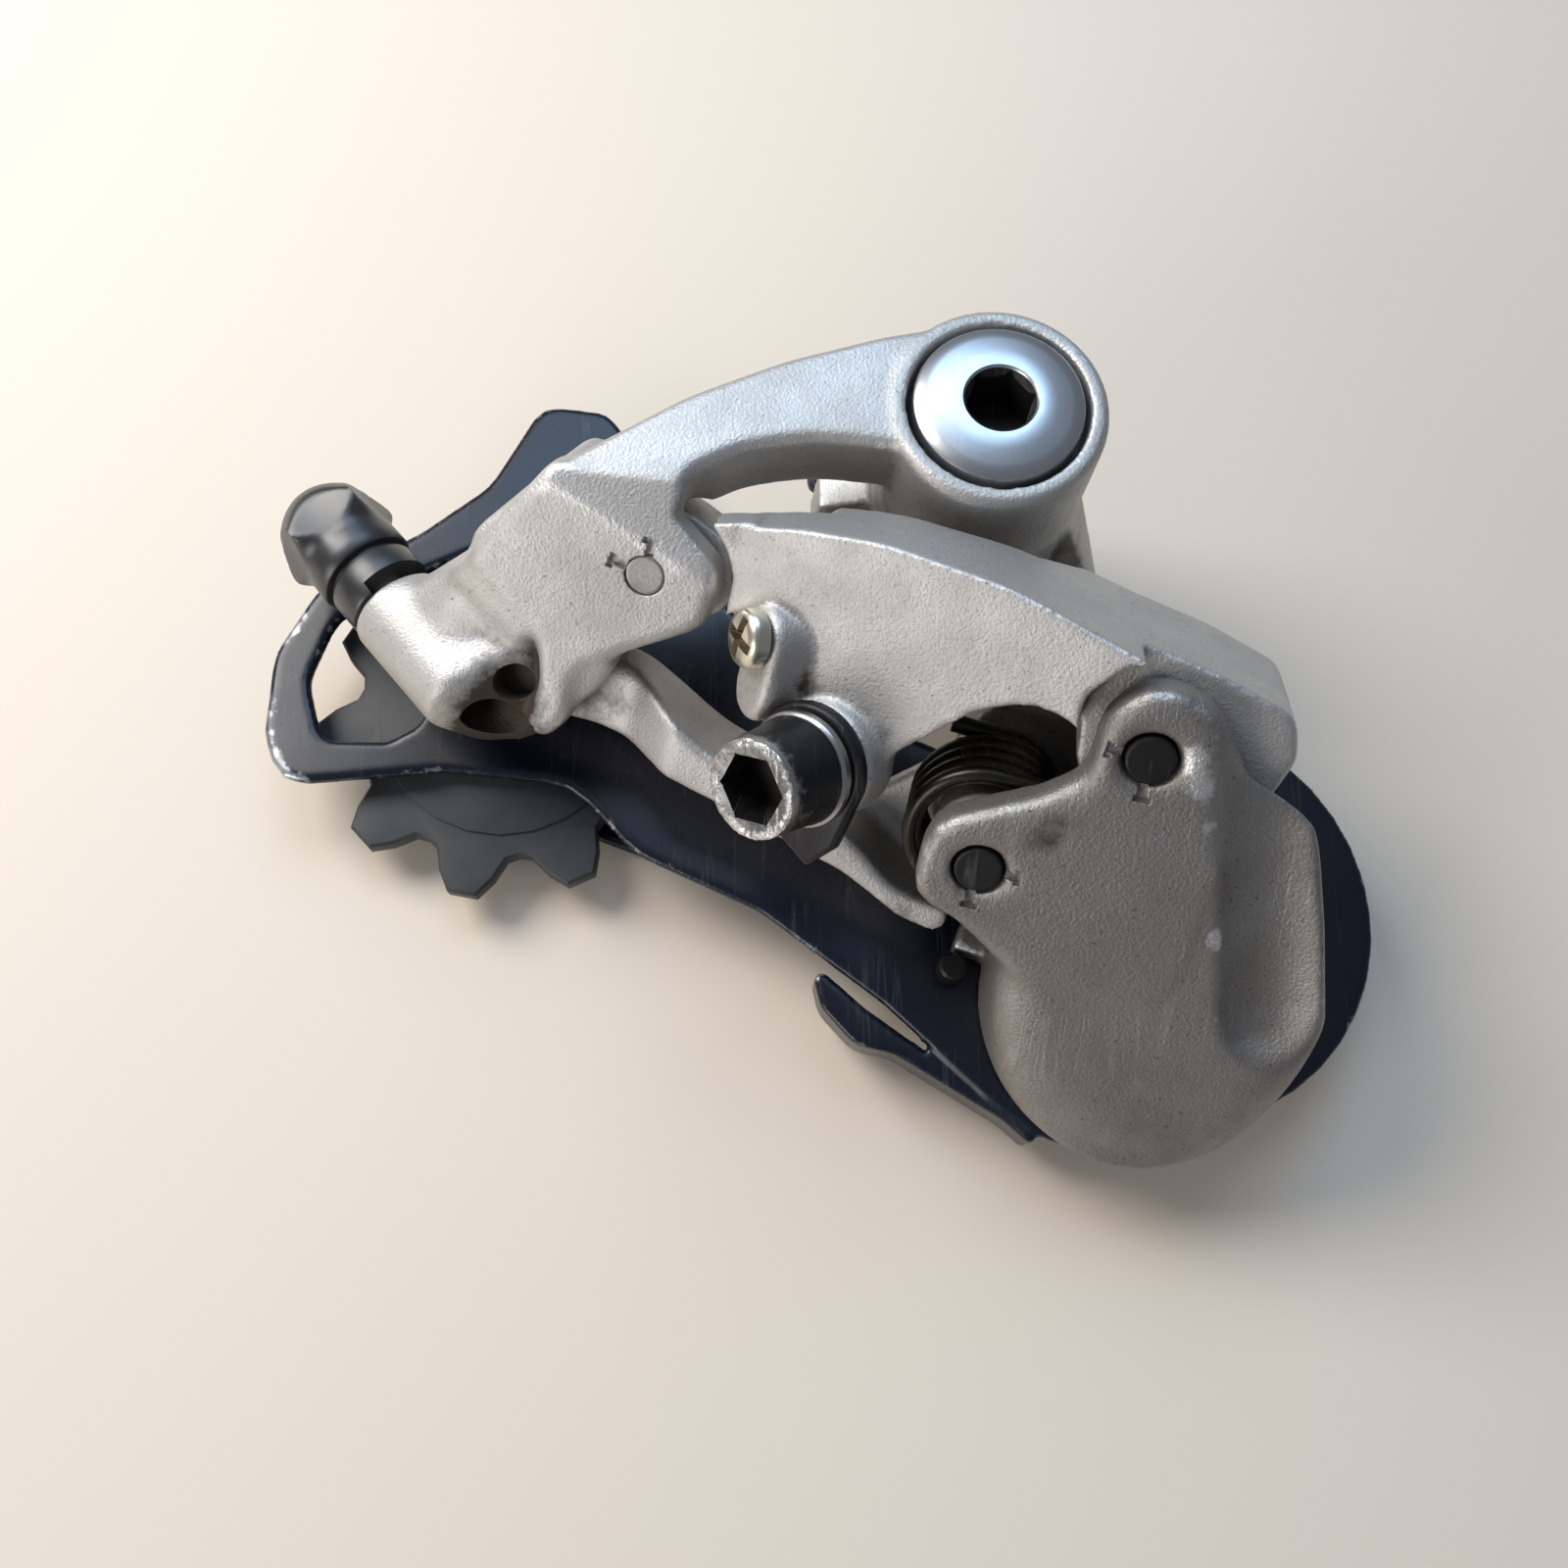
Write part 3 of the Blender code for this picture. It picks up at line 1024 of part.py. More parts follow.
def pulley_cap(center, outboard, name):
    """Dust cap over one side of a pulley's hub."""
    inner = PULLEY_BORE + 0.1
    low = INNER_PLATE + FIT_GAP
    if outboard:
        low = OUTER_PLATE_BOTTOM - FIT_GAP - CAP_THICKNESS
    high = low + CAP_THICKNESS
    return lathe([(inner, low), (CAP_RADIUS, low), (CAP_RADIUS, high), (inner, high)], at(center), 20,
                 closed=True, name=name)


def pivot_axle():
    flange = PIVOT_AXLE_RADIUS + 2.4
    return lathe([
        (0.0, CAGE_TOP + FIT_GAP), (flange, CAGE_TOP + FIT_GAP), (flange, BELL_BOTTOM + 1.3),
        (PIVOT_AXLE_RADIUS, BELL_BOTTOM + 1.3), (PIVOT_AXLE_RADIUS, PIVOT_AXLE_TOP - 0.6),
        (PIVOT_AXLE_RADIUS - 0.6, PIVOT_AXLE_TOP), (0.0, PIVOT_AXLE_TOP),
    ], at(PIVOT), 28, name="pivot_axle")


def stop_pin():
    radius = stop_radius()
    center = Vector((
        PIVOT.x + radius * math.cos(STOP_ANGLE), PIVOT.y + radius * math.sin(STOP_ANGLE), 0.0,
    ))
    low = CAGE_TOP + FIT_GAP
    return rod(STOP_PIN_RADIUS, low, low + 3.6, at(center), 20, rim=0.3, name="cage_stop_pin")


def paint(item, color, roughness, metallic):
    material = bpy.data.materials.new(item.name)
    material.use_nodes = True
    shader = material.node_tree.nodes["Principled BSDF"]
    shader.inputs["Base Color"].default_value = (*color, 1.0)
    shader.inputs["Roughness"].default_value = roughness
    shader.inputs["Metallic"].default_value = metallic
    item.data.materials.clear()
    item.data.materials.append(material)


def finish(item):
    """Split the faces into triangles and shade the round ones smooth."""
    if item.type != "MESH":
        return
    builder = bmesh.new()
    builder.from_mesh(item.data)
    bmesh.ops.triangulate(builder, faces=builder.faces)
    builder.to_mesh(item.data)
    builder.free()
    item.data.shade_smooth()
    item.data.set_sharp_from_angle(angle=math.radians(32.0))


def joint_empty(name, place, parent=None):
    """Empty on a joint's axis, which carries the pieces that move with it."""
    empty = bpy.data.objects.new(name, None)
    empty.empty_display_size = 0.01
    bpy.context.scene.collection.objects.link(empty)
    empty.location = Vector(place) * MM
    bpy.context.view_layer.update()
    if parent is not None:
        attach(empty, parent)
    return empty


def attach(item, parent):
    item.parent = parent
    item.matrix_parent_inverse = parent.matrix_world.inverted()
    bpy.context.view_layer.update()


CAST = (0.55, 0.52, 0.48)
STEEL = (0.62, 0.63, 0.65)
DARK_STEEL = (0.10, 0.10, 0.10)
BLACK = (0.02, 0.02, 0.022)
NAVY = (0.03, 0.04, 0.06)
ZINC = (0.62, 0.50, 0.24)


def build():
    for item in list(bpy.data.objects):
        bpy.data.objects.remove(item)

    front_u = LINK_LENGTH
    mount = joint_empty("mount_axis", (0.0, 0.0, 0.0))
    bracket = joint_empty("bracket_axis", (0.0, 0.0, BOSS_BOTTOM), mount)
    adjuster = joint_empty("adjuster_axis", cable_frame().translation, bracket)
    outer = joint_empty("outer_link_axis", LINK @ Vector((0.0, 0.0, REAR_LINK_FRONT)), bracket)
    inner = joint_empty("inner_link_axis", LINK @ Vector((*REAR_INNER, REAR_LINK_FRONT)), bracket)
    pivot = joint_empty("front_pin_axis", LINK @ Vector((front_u, 0.0, FRONT_LINK_FRONT)), outer)
    cage = joint_empty("cage_axis", (PIVOT.x, PIVOT.y, CAGE_TOP), pivot)
    guide = joint_empty("guide_axis", (GUIDE.x, GUIDE.y, pulley_middle()), cage)
    tension = joint_empty("tension_axis", (TENSION.x, TENSION.y, pulley_middle()), cage)

    rear_low = REAR_BACK_W + 0.3
    rear_high = REAR_FACE_W - 0.2
    inner_high = rear_high - REAR_INNER_STEP
    front_low = FRONT_BACK_W + 0.3
    front_high = -0.2
    screw_length = LIMIT_LENGTH
    limit_high = shifted((0.0, 0.0, -screw_length), limit_frame())
    limit_low = shifted((0.0, 0.0, -screw_length), limit_frame(LIMIT_LOW_SHIFT))

    pieces = [
        (mounting_bolt(), mount, STEEL, 0.25, 1.0),
        (stop_plate(), mount, DARK_STEEL, 0.5, 1.0),
        (retaining_ring(), mount, DARK_STEEL, 0.4, 1.0),
        (axle_bushing(), bracket, BLACK, 0.6, 0.0),
        (bracket_knuckle(), bracket, CAST, 0.45, 0.8),
        (pin(REAR_OUTER, rear_low, rear_high, "rear_outer_pin"), bracket, DARK_STEEL, 0.45, 1.0),
        (pin(REAR_INNER, rear_low, inner_high, "rear_inner_pin"), bracket, DARK_STEEL, 0.45, 1.0),
        (headed_screw(tension_screw_frame(), LIMIT_SHANK_RADIUS, 9.2, LIMIT_HEAD_RADIUS, "tension_screw"),
         bracket, ZINC, 0.4, 1.0),
        (barrel_adjuster(), adjuster, BLACK, 0.35, 0.0),
        (adjuster_stem(), adjuster, STEEL, 0.35, 1.0),
        (outer_link(), outer, CAST, 0.45, 0.8),
        (cable_clamp(), outer, DARK_STEEL, 0.45, 1.0),
        (cable_bolt(), outer, DARK_STEEL, 0.4, 1.0),
        (headed_screw(limit_high, LIMIT_SHANK_RADIUS, screw_length, LIMIT_HEAD_RADIUS, "limit_screw_high"),
         outer, ZINC, 0.4, 1.0),
        (headed_screw(limit_low, LIMIT_SHANK_RADIUS, screw_length, LIMIT_HEAD_RADIUS, "limit_screw_low"),
         outer, ZINC, 0.4, 1.0),
        (inner_link(), inner, CAST, 0.45, 0.8),
        (pivot_knuckle(), pivot, CAST, 0.45, 0.8),
        (pin(FRONT_OUTER, front_low, front_high, "front_outer_pin"), pivot, DARK_STEEL, 0.45, 1.0),
        (pin(FRONT_INNER, front_low, front_high, "front_inner_pin"), pivot, DARK_STEEL, 0.45, 1.0),
        (link_spring(), pivot, DARK_STEEL, 0.4, 1.0),
        (pivot_seal(), pivot, BLACK, 0.7, 0.0),
        (outer_cage_plate(), cage, NAVY, 0.3, 0.6),
        (inner_cage_plate(), cage, NAVY, 0.3, 0.6),
        (pivot_axle(), cage, STEEL, 0.35, 1.0),
        (stop_pin(), cage, DARK_STEEL, 0.4, 1.0),
        (pulley_bolt(GUIDE, "guide_bolt"), cage, STEEL, 0.35, 1.0),
        (pulley_bolt(TENSION, "tension_bolt"), cage, STEEL, 0.35, 1.0),
        (pulley_bushing(GUIDE, "guide_bushing"), cage, STEEL, 0.4, 1.0),
        (pulley_bushing(TENSION, "tension_bushing"), cage, STEEL, 0.4, 1.0),
        (pulley_cap(GUIDE, True, "guide_cap_outer"), cage, STEEL, 0.4, 1.0),
        (pulley_cap(GUIDE, False, "guide_cap_inner"), cage, STEEL, 0.4, 1.0),
        (pulley_cap(TENSION, True, "tension_cap_outer"), cage, STEEL, 0.4, 1.0),
        (pulley_cap(TENSION, False, "tension_cap_inner"), cage, STEEL, 0.4, 1.0),
        (pulley(GUIDE, 0.0, "guide_pulley"), guide, BLACK, 0.5, 0.0),
        (pulley(TENSION, 7.6, "tension_pulley"), tension, BLACK, 0.5, 0.0),
    ]
    for item, parent, color, roughness, metallic in pieces:
        finish(item)
        paint(item, color, roughness, metallic)
        attach(item, parent)


build()
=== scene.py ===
"""Looks of a worn rear bicycle derailleur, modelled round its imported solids."""
import math

import bpy
import numpy as np
from bpy.props import FloatProperty, FloatVectorProperty, IntProperty, PointerProperty
from mathutils import Matrix, Vector


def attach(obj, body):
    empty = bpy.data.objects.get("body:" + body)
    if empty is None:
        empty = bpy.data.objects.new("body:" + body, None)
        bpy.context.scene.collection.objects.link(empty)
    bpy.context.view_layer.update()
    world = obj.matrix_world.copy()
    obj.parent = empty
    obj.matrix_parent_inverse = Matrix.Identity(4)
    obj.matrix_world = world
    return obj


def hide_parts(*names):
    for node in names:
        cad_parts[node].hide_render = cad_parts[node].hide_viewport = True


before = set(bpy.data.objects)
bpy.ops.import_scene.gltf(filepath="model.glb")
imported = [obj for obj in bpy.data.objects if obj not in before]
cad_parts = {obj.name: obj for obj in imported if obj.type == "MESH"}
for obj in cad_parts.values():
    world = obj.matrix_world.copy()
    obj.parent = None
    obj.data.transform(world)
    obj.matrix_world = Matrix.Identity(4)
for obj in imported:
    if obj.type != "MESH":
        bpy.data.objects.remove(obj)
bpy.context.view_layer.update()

bl_info = {
    "name": "Rear derailleur",
    "version": (1, 0, 0),
    "blender": (4, 5, 0),
    "location": "3D View > Sidebar > Derailleur",
    "description": "Models the castings, fasteners, cage and finishes of a rear derailleur",
    "category": "Object",
}

MM = 0.001
MERGE = 0.004
SMOOTH_ANGLE = math.radians(38.0)
TURNED_ANGLE = math.radians(32.0)
EASED_ANGLE = math.radians(34.0)
FLAT_ANGLE = math.radians(1.0)

# Slanted frame of the four link pins: u along the links, w along the pins
PIN_TILT = math.radians(45.0)
PIN_AZIMUTH = math.radians(-106.4)
REAR_PIN = (-36.3, -23.1, 43.6)
LINK_LENGTH = 49.9

# Places and directions in that frame: inner pin, cable hole, the roll beside it and the rear ear
INNER_PIN = (-11.4, -15.5)
CABLE_EXIT = (-16.3, -18.9, -12.9)
CABLE_RUN = (0.841, -0.348, 0.414)
ROLL_END = (-9.5, -9.3, -17.2)
ROLL_TOP = (-17.7, -3.3, -17.6)
EAR_FACE = -10.0
EAR_RIDGE = ((-14.6, 8.2), (9.6, 0.0))
FLANK_SLOPE = 0.32

# Radii and gaps in millimetres; the eye room is a radius, a low end and a high end
PIN_RADIUS = 2.3
SMALL_HEAD = 2.0
HEAD_GAP = 0.04
INNER_PIN_HOLE = 2.05
CABLE_HOLE = 2.75
LINK_REAR_ROUND = 8.9
EYE_ROOM = (5.4, -21.6, -14.9)

# In the part's own frame: the bell's axis, and the way from the adjuster's collar to its grip
PIVOT_AXIS = (16.37, -53.89)
ADJUSTER_RUN = (-0.6059, 0.7942, -0.046)

# Smoothing passes that tell edges and hollows from the form round them
EDGE_ROUNDS = 14
HOLLOW_ROUNDS = 70

# Camera fitted to the square photograph: place in millimetres, then the rows of its turn
CAMERA_PLACE = (-24.9, -78.9, 166.0)
CAMERA_ROWS = ((0.9995, -0.0097, -0.030), (0.0, 0.9525, -0.306), (0.032, 0.306, 0.952))
CAMERA_LENS = 33.75
CAMERA_SENSOR = 36.0

# Stage: how far the floor lies below the part, in millimetres, and where the lights aim, in metres
FLOOR_DROP = 0.2
LIGHT_AIM = (-0.012, -0.025, 0.02)


def link_frame():
    """Matrix of the slanted pin frame, in millimetres."""
    w = Vector((
        math.sin(PIN_TILT) * math.cos(PIN_AZIMUTH),
        math.sin(PIN_TILT) * math.sin(PIN_AZIMUTH),
        math.cos(PIN_TILT),
    ))
    u = Vector((0.0, 0.0, 1.0)).cross(w).normalized()
    v = w.cross(u)
    turn = Matrix((u, v, w)).transposed().to_4x4()
    return Matrix.Translation(REAR_PIN) @ turn


LINK = link_frame()


def colour_setting(name, description, default):
    return FloatVectorProperty(name=name, description=description, subtype="COLOR", default=default)


class CastSettings(bpy.types.PropertyGroup):
    voxel: FloatProperty(
        name="Grain of the castings", description="Size of the voxels that round off the cast forms",
        default=0.30 * MM, unit="LENGTH",
    )
    plate_voxel: FloatProperty(
        name="Grain of the plates", description="Size of the voxels that round off the cage plates",
        default=0.36 * MM, unit="LENGTH",
    )
    rounds: IntProperty(
        name="Rounding", description="Smoothing passes over the cast edges", default=14, min=0,
    )
    plate_rounds: IntProperty(
        name="Plate rounding", description="Smoothing passes over the plate edges", default=5, min=0,
    )
    colour: colour_setting("Casting", "Colour of the blasted alloy", (0.585, 0.567, 0.545))


class FinishSettings(bpy.types.PropertyGroup):
    cage: colour_setting("Cage paint", "Colour of the painted cage plates", (0.005, 0.008, 0.018))
    zinc: colour_setting("Zinc", "Colour of the yellow zinc on the screws", (0.66, 0.57, 0.36))
    plastic: colour_setting("Adjuster", "Colour of the moulded adjuster", (0.008, 0.008, 0.009))
    pulley: colour_setting("Pulleys", "Colour of the moulded pulleys", (0.030, 0.033, 0.036))


class StageSettings(bpy.types.PropertyGroup):
    floor: colour_setting("Floor", "Colour of the plain floor", (0.80, 0.70, 0.59))
    sky: colour_setting("Surround", "Colour of the soft surround", (0.80, 0.86, 1.0))
    sky_strength: FloatProperty(
        name="Surround strength", description="Strength of the soft surround", default=0.20,
    )
    key_power: FloatProperty(
        name="Key light", description="Power of the large soft light", default=1.55, subtype="POWER",
    )


class DerailleurSettings(bpy.types.PropertyGroup):
    cast: PointerProperty(type=CastSettings)
    finish: PointerProperty(type=FinishSettings)
    stage: PointerProperty(type=StageSettings)


def choose(piece):
    """Make one piece the only selected and the active object."""
    bpy.ops.object.select_all(action="DESELECT")
    piece.select_set(True)
    bpy.context.view_layer.objects.active = piece


def add_object(name, data):
    item = bpy.data.objects.new(name, data)
    bpy.context.scene.collection.objects.link(item)
    return item


def edit_all(piece):
    choose(piece)
    bpy.ops.object.mode_set(mode="EDIT")
    bpy.ops.mesh.select_all(action="SELECT")


def leave_edit():
    bpy.ops.object.mode_set(mode="OBJECT")


def join(whole, others):
    """Join the meshes of other objects into one object's."""
    choose(whole)
    for item in others:
        item.select_set(True)
    bpy.ops.object.join()


def apply_modifier(piece, kind, **settings):
    choose(piece)
    modifier = piece.modifiers.new(kind.lower(), kind)
    for key, value in settings.items():
        setattr(modifier, key, value)
    bpy.ops.object.modifier_apply(modifier=modifier.name)


def soft_shade(piece, angle=SMOOTH_ANGLE):
    choose(piece)
    bpy.ops.object.shade_smooth_by_angle(angle=angle)


def place(piece, matrix):
    """Put a piece made in millimetre frames where the matrix says, with its place in its mesh."""
    moved = matrix.copy()
    moved.translation = matrix.translation * MM
    piece.data.transform(moved)
    piece.data.update()


def copy_of(node, name):
    """A new piece from a CAD node's mesh, with its doubled points merged."""
    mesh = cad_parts[node].data.copy()
    mesh.materials.clear()
    mesh.name = name
    piece = add_object(name, mesh)
    edit_all(piece)
    bpy.ops.mesh.remove_doubles(threshold=MERGE * MM)
    leave_edit()
    return piece


def eased(node, name, width):
    """A copy of a CAD node with its sharp edges rounded off."""
    piece = copy_of(node, name)
    edit_all(piece)
    bpy.ops.mesh.dissolve_limited(angle_limit=FLAT_ANGLE)
    leave_edit()
    apply_modifier(
        piece, "BEVEL", width=width * MM, segments=2, limit_method="ANGLE",
        angle_limit=EASED_ANGLE, use_clamp_overlap=True,
    )
    soft_shade(piece)
    return piece


def points_of(piece):
    """The points of a piece, in millimetres, one row each."""
    points = np.empty(len(piece.data.vertices) * 3)
    piece.data.vertices.foreach_get("co", points)
    return points.reshape(-1, 3) / MM


def away_from(points, start, stop):
    """Distance of each point from the line between two places in the link frame."""
    first = np.array(LINK @ Vector(start))
    along = np.array(LINK @ Vector(stop)) - first
    share = np.clip((points - first) @ along / max(along @ along, 1e-9), 0.0, 1.0)
    return np.linalg.norm(points - first - share[:, None] * along, axis=1)


def soften_zone(piece, distance, reach, rounds):
    """Smooth a piece further where the distance is less than the reach, fading out towards it."""
    fade = np.clip(1.5 - 1.5 * distance / reach, 0.0, 1.0)
    group = piece.vertex_groups.new(name="soft_zone")
    steps = 16
    levels = np.rint(fade * steps)
    for level in range(1, steps + 1):
        group.add(np.nonzero(levels == level)[0].tolist(), level / steps, "REPLACE")
    apply_modifier(piece, "SMOOTH", factor=0.5, iterations=rounds, vertex_group="soft_zone")
    piece.vertex_groups.clear()


def softened(node, name, voxel, rounds, filler=None, trim=None):
    """A copy of a CAD node, filled and trimmed, with edges as round as a casting's or a pressing's."""
    piece = copy_of(node, name)
    grid = {"mode": "VOXEL", "voxel_size": voxel, "adaptivity": 0.0}
    if filler:
        join(piece, (filler,))
    apply_modifier(piece, "REMESH", **grid)
    if trim:
        cut(piece, trim)
        apply_modifier(piece, "REMESH", **grid)
    apply_modifier(piece, "SMOOTH", factor=0.5, iterations=rounds)
    bpy.ops.object.shade_smooth()
    return piece


def turned(name, rings, steps):
    """A round piece raised along Z, ring by ring, from pairs of radius and height in millimetres."""
    radius, height = rings[0]
    bpy.ops.mesh.primitive_circle_add(vertices=steps, radius=radius * MM, fill_type="NGON")
    piece = bpy.context.object
    piece.name = name
    piece.data.name = name
    edit_all(piece)
    bpy.ops.transform.translate(value=(0.0, 0.0, height * MM))
    for next_radius, next_height in rings[1:]:
        rise = (next_height - height) * MM
        share = next_radius / radius
        bpy.ops.mesh.extrude_region_move(TRANSFORM_OT_translate={"value": (0.0, 0.0, rise)})
        bpy.ops.transform.resize(value=(share, share, 1.0))
        radius = next_radius
        height = next_height
    bpy.ops.mesh.select_all(action="SELECT")
    bpy.ops.mesh.normals_make_consistent(inside=False)
    leave_edit()
    return piece


def block(size, at, turn=0.0, edge=0.0):
    """A cutter: a box of the given size in millimetres, turned about Z, with eased edges."""
    bpy.ops.mesh.primitive_cube_add(size=MM)
    cutter = bpy.context.object
    placed = Matrix.Translation(Vector(at) * MM) @ Matrix.Diagonal((*size, 1.0))
    cutter.data.transform(Matrix.Rotation(turn, 4, "Z") @ placed)
    if edge:
        apply_modifier(cutter, "BEVEL", width=edge * MM, segments=2)
    return cutter


def six_sided(flats, low, high, turn):
    """A cutter for a hexagon socket."""
    corner = flats / math.sqrt(3.0)
    bpy.ops.mesh.primitive_cylinder_add(vertices=6, radius=corner * MM, depth=(high - low) * MM)
    cutter = bpy.context.object
    middle = Matrix.Translation((0.0, 0.0, (low + high) / 2.0 * MM))
    cutter.data.transform(Matrix.Rotation(turn, 4, "Z") @ middle)
    return cutter


def bar(radius, low, high, matrix, steps=28):
    """A cutter or filler: a round bar along the Z of a millimetre frame."""
    bpy.ops.mesh.primitive_cylinder_add(vertices=steps, radius=radius * MM, depth=(high - low) * MM)
    item = bpy.context.object
    item.data.transform(Matrix.Translation((0.0, 0.0, (low + high) / 2.0 * MM)))
    place(item, matrix)
    return item


def pointing(origin, axis):
    """Millimetre frame at a place in the link frame, with Z along a direction of the link frame."""
    turn = (LINK.to_3x3() @ Vector(axis)).to_track_quat("Z", "Y").to_matrix().to_4x4()
    return Matrix.Translation(LINK @ Vector(origin)) @ turn


def pin_line(u, v):
    """Millimetre frame on a line along the pins, at a place across the link frame."""
    return pointing((u, v, 0.0), (0.0, 0.0, 1.0))


def cut(piece, cutter):
    apply_modifier(piece, "BOOLEAN", operation="DIFFERENCE", solver="MANIFOLD", object=cutter)
    bpy.data.objects.remove(cutter)


def spindle(node, towards):
    """Frame of a turned CAD node: Z along its centre line, origin at its low end; and its length."""
    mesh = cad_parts[node].data
    points = np.array([tuple(vertex.co) for vertex in mesh.vertices]) / MM
    points = np.unique(points.round(3), axis=0)
    middle = points.mean(0)
    axis = Vector(np.linalg.svd(points - middle)[2][0])
    if axis.dot(Vector(towards)) < 0.0:
        axis = -axis
    side = Vector((0.0, 0.0, 1.0)).cross(axis)
    if side.length < 0.01:
        side = Vector((1.0, 0.0, 0.0))
    side.normalize()
    up = axis.cross(side)
    reach = points @ np.array(axis)
    across = points @ np.array(side)
    along = points @ np.array(up)
    origin = side * ((across.min() + across.max()) / 2.0) + up * ((along.min() + along.max()) / 2.0)
    origin += axis * reach.min()
    turn = Matrix((side, up, axis)).transposed().to_4x4()
    return Matrix.Translation(origin) @ turn, reach.max() - reach.min()


def finish_piece(piece, body, finish_name, nodes):
    """Give a piece its finish, say which body it rides on, and hide the CAD nodes it stands for."""
    piece.data.materials.clear()
    piece.data.materials.append(material_of(finish_name))
    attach(piece, body)
    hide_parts(*nodes)


def hollows(piece, rounds):
    """The points, and how far each lies below the softened form round it; edges come out below 0."""
    mesh = piece.data
    count = len(mesh.vertices)
    points = points_of(piece)
    normals = np.empty(count * 3)
    ends = np.empty(len(mesh.edges) * 2, dtype=np.int64)
    mesh.vertex_normals.foreach_get("vector", normals)
    mesh.edges.foreach_get("vertices", ends)
    normals = normals.reshape(-1, 3)
    first, second = ends.reshape(-1, 2).T
    linked = np.bincount(first, minlength=count) + np.bincount(second, minlength=count)
    linked = np.maximum(linked, 1)
    soft = points.copy()
    for _ in range(rounds):
        total = np.empty_like(soft)
        for axis in range(3):
            column = soft[:, axis]
            total[:, axis] = np.bincount(first, column[second], count)
            total[:, axis] += np.bincount(second, column[first], count)
        soft = total / linked[:, None]
    return points, ((soft - points) * normals).sum(1)


def mark_surface(piece, edge_depth, hollow_depth, wear_spots=(), grime_and_shade_spots=()):
    """Store where the edges are worn bright, and where grime and painted shade darken the hollows and
    given spots, as two point attributes.
    """
    points, fine = hollows(piece, EDGE_ROUNDS)
    broad = hollows(piece, HOLLOW_ROUNDS)[1]
    wear = np.clip(-fine / edge_depth, 0.0, 1.0)
    # Hollows get grime together with painted shade, a darkening that stands in for the shade falling
    # in them
    grime_and_shade = np.clip(broad / hollow_depth, 0.0, 1.0)
    for marks, spots in ((wear, wear_spots), (grime_and_shade, grime_and_shade_spots)):
        for u, v, w, reach, strength in spots:
            centre = np.array(LINK @ Vector((u, v, w)))
            distance = np.linalg.norm(points - centre, axis=1)
            marks += strength * np.exp(-(distance / reach) ** 2)
    for label, marks in (("wear", wear), ("grime_and_shade", grime_and_shade)):
        layer = piece.data.attributes.new(label, "FLOAT", "POINT")
        layer.data.foreach_set("value", np.clip(marks, 0.0, 1.5).astype(np.float32))


def add_node(tree, kind, sockets=None, **settings):
    """Add a shader node; a socket's value may be a number, a colour or another node's output."""
    item = tree.nodes.new(kind)
    for key, value in settings.items():
        setattr(item, key, value)
    for key, value in (sockets or {}).items():
        if isinstance(value, bpy.types.NodeSocket):
            tree.links.new(value, item.inputs[key])
        else:
            item.inputs[key].default_value = value
    return item


def start_group(name, inputs, outputs):
    group = bpy.data.node_groups.new(name, "ShaderNodeTree")
    for label, value in inputs:
        socket = group.interface.new_socket(label, in_out="INPUT", socket_type="NodeSocketFloat")
        socket.default_value = value
    for label in outputs:
        group.interface.new_socket(label, in_out="OUTPUT", socket_type="NodeSocketFloat")
    return group, group.nodes.new("NodeGroupInput").outputs, group.nodes.new("NodeGroupOutput")


def arithmetic(tree, operation, first, second):
    return add_node(tree, "ShaderNodeMath", {0: first, 1: second}, operation=operation).outputs[0]


def ramp(tree, value, low, high):
    sockets = {"Value": value, "From Min": low, "From Max": high}
    return add_node(tree, "ShaderNodeMapRange", sockets, clamp=True).outputs[0]


def noise(tree, scale, detail, roughness=0.55, vector=None):
    if vector is None:
        vector = add_node(tree, "ShaderNodeTexCoord").outputs["Object"]
    sockets = {"Vector": vector, "Scale": scale, "Detail": detail, "Roughness": roughness}
    return add_node(tree, "ShaderNodeTexNoise", sockets).outputs["Fac"]


def grain_group():
    """Blasted or moulded grain: a fine height, dark specks and slow clouds."""
    group, given, out = start_group(
        "surface_grain", (("Fineness", 3000.0), ("Speck Level", 0.62)), ("Height", "Specks", "Clouds"),
    )
    fine = noise(group, given["Fineness"], 2.0)
    specks = noise(group, arithmetic(group, "MULTIPLY", given["Fineness"], 0.62), 3.0, 0.7)
    top = arithmetic(group, "ADD", given["Speck Level"], 0.10)
    group.links.new(fine, out.inputs["Height"])
    group.links.new(ramp(group, specks, given["Speck Level"], top), out.inputs["Specks"])
    group.links.new(ramp(group, noise(group, 130.0, 5.0, 0.62), 0.32, 0.70), out.inputs["Clouds"])


def mark_mask(group, given, mark, broken, width, edge):
    """Where a stored mark, broken up by noise, rises over the level that the amount sets."""
    level = arithmetic(group, "ADD", mark, broken)
    start = arithmetic(group, "SUBTRACT", 1.0, given["Amount"])
    stop = arithmetic(group, "ADD", start, width)
    inside = ramp(group, mark, *edge)
    return arithmetic(group, "MULTIPLY", ramp(group, level, start, stop), inside)


def wear_group():
    """Bright wear on the edges, broken up by noise."""
    group, given, out = start_group("worn_edges", (("Amount", 0.5), ("Fineness", 900.0)), ("Mask",))
    worn = add_node(group, "ShaderNodeAttribute", attribute_name="wear").outputs["Fac"]
    broken = arithmetic(group, "SUBTRACT", noise(group, given["Fineness"], 4.0, 0.7), 0.5)
    slow = arithmetic(group, "SUBTRACT", noise(group, 120.0, 3.0), 0.5)
    broken = arithmetic(group, "ADD", broken, slow)
    mask = mark_mask(group, given, worn, broken, width=0.35, edge=(0.04, 0.25))
    group.links.new(mask, out.inputs["Mask"])


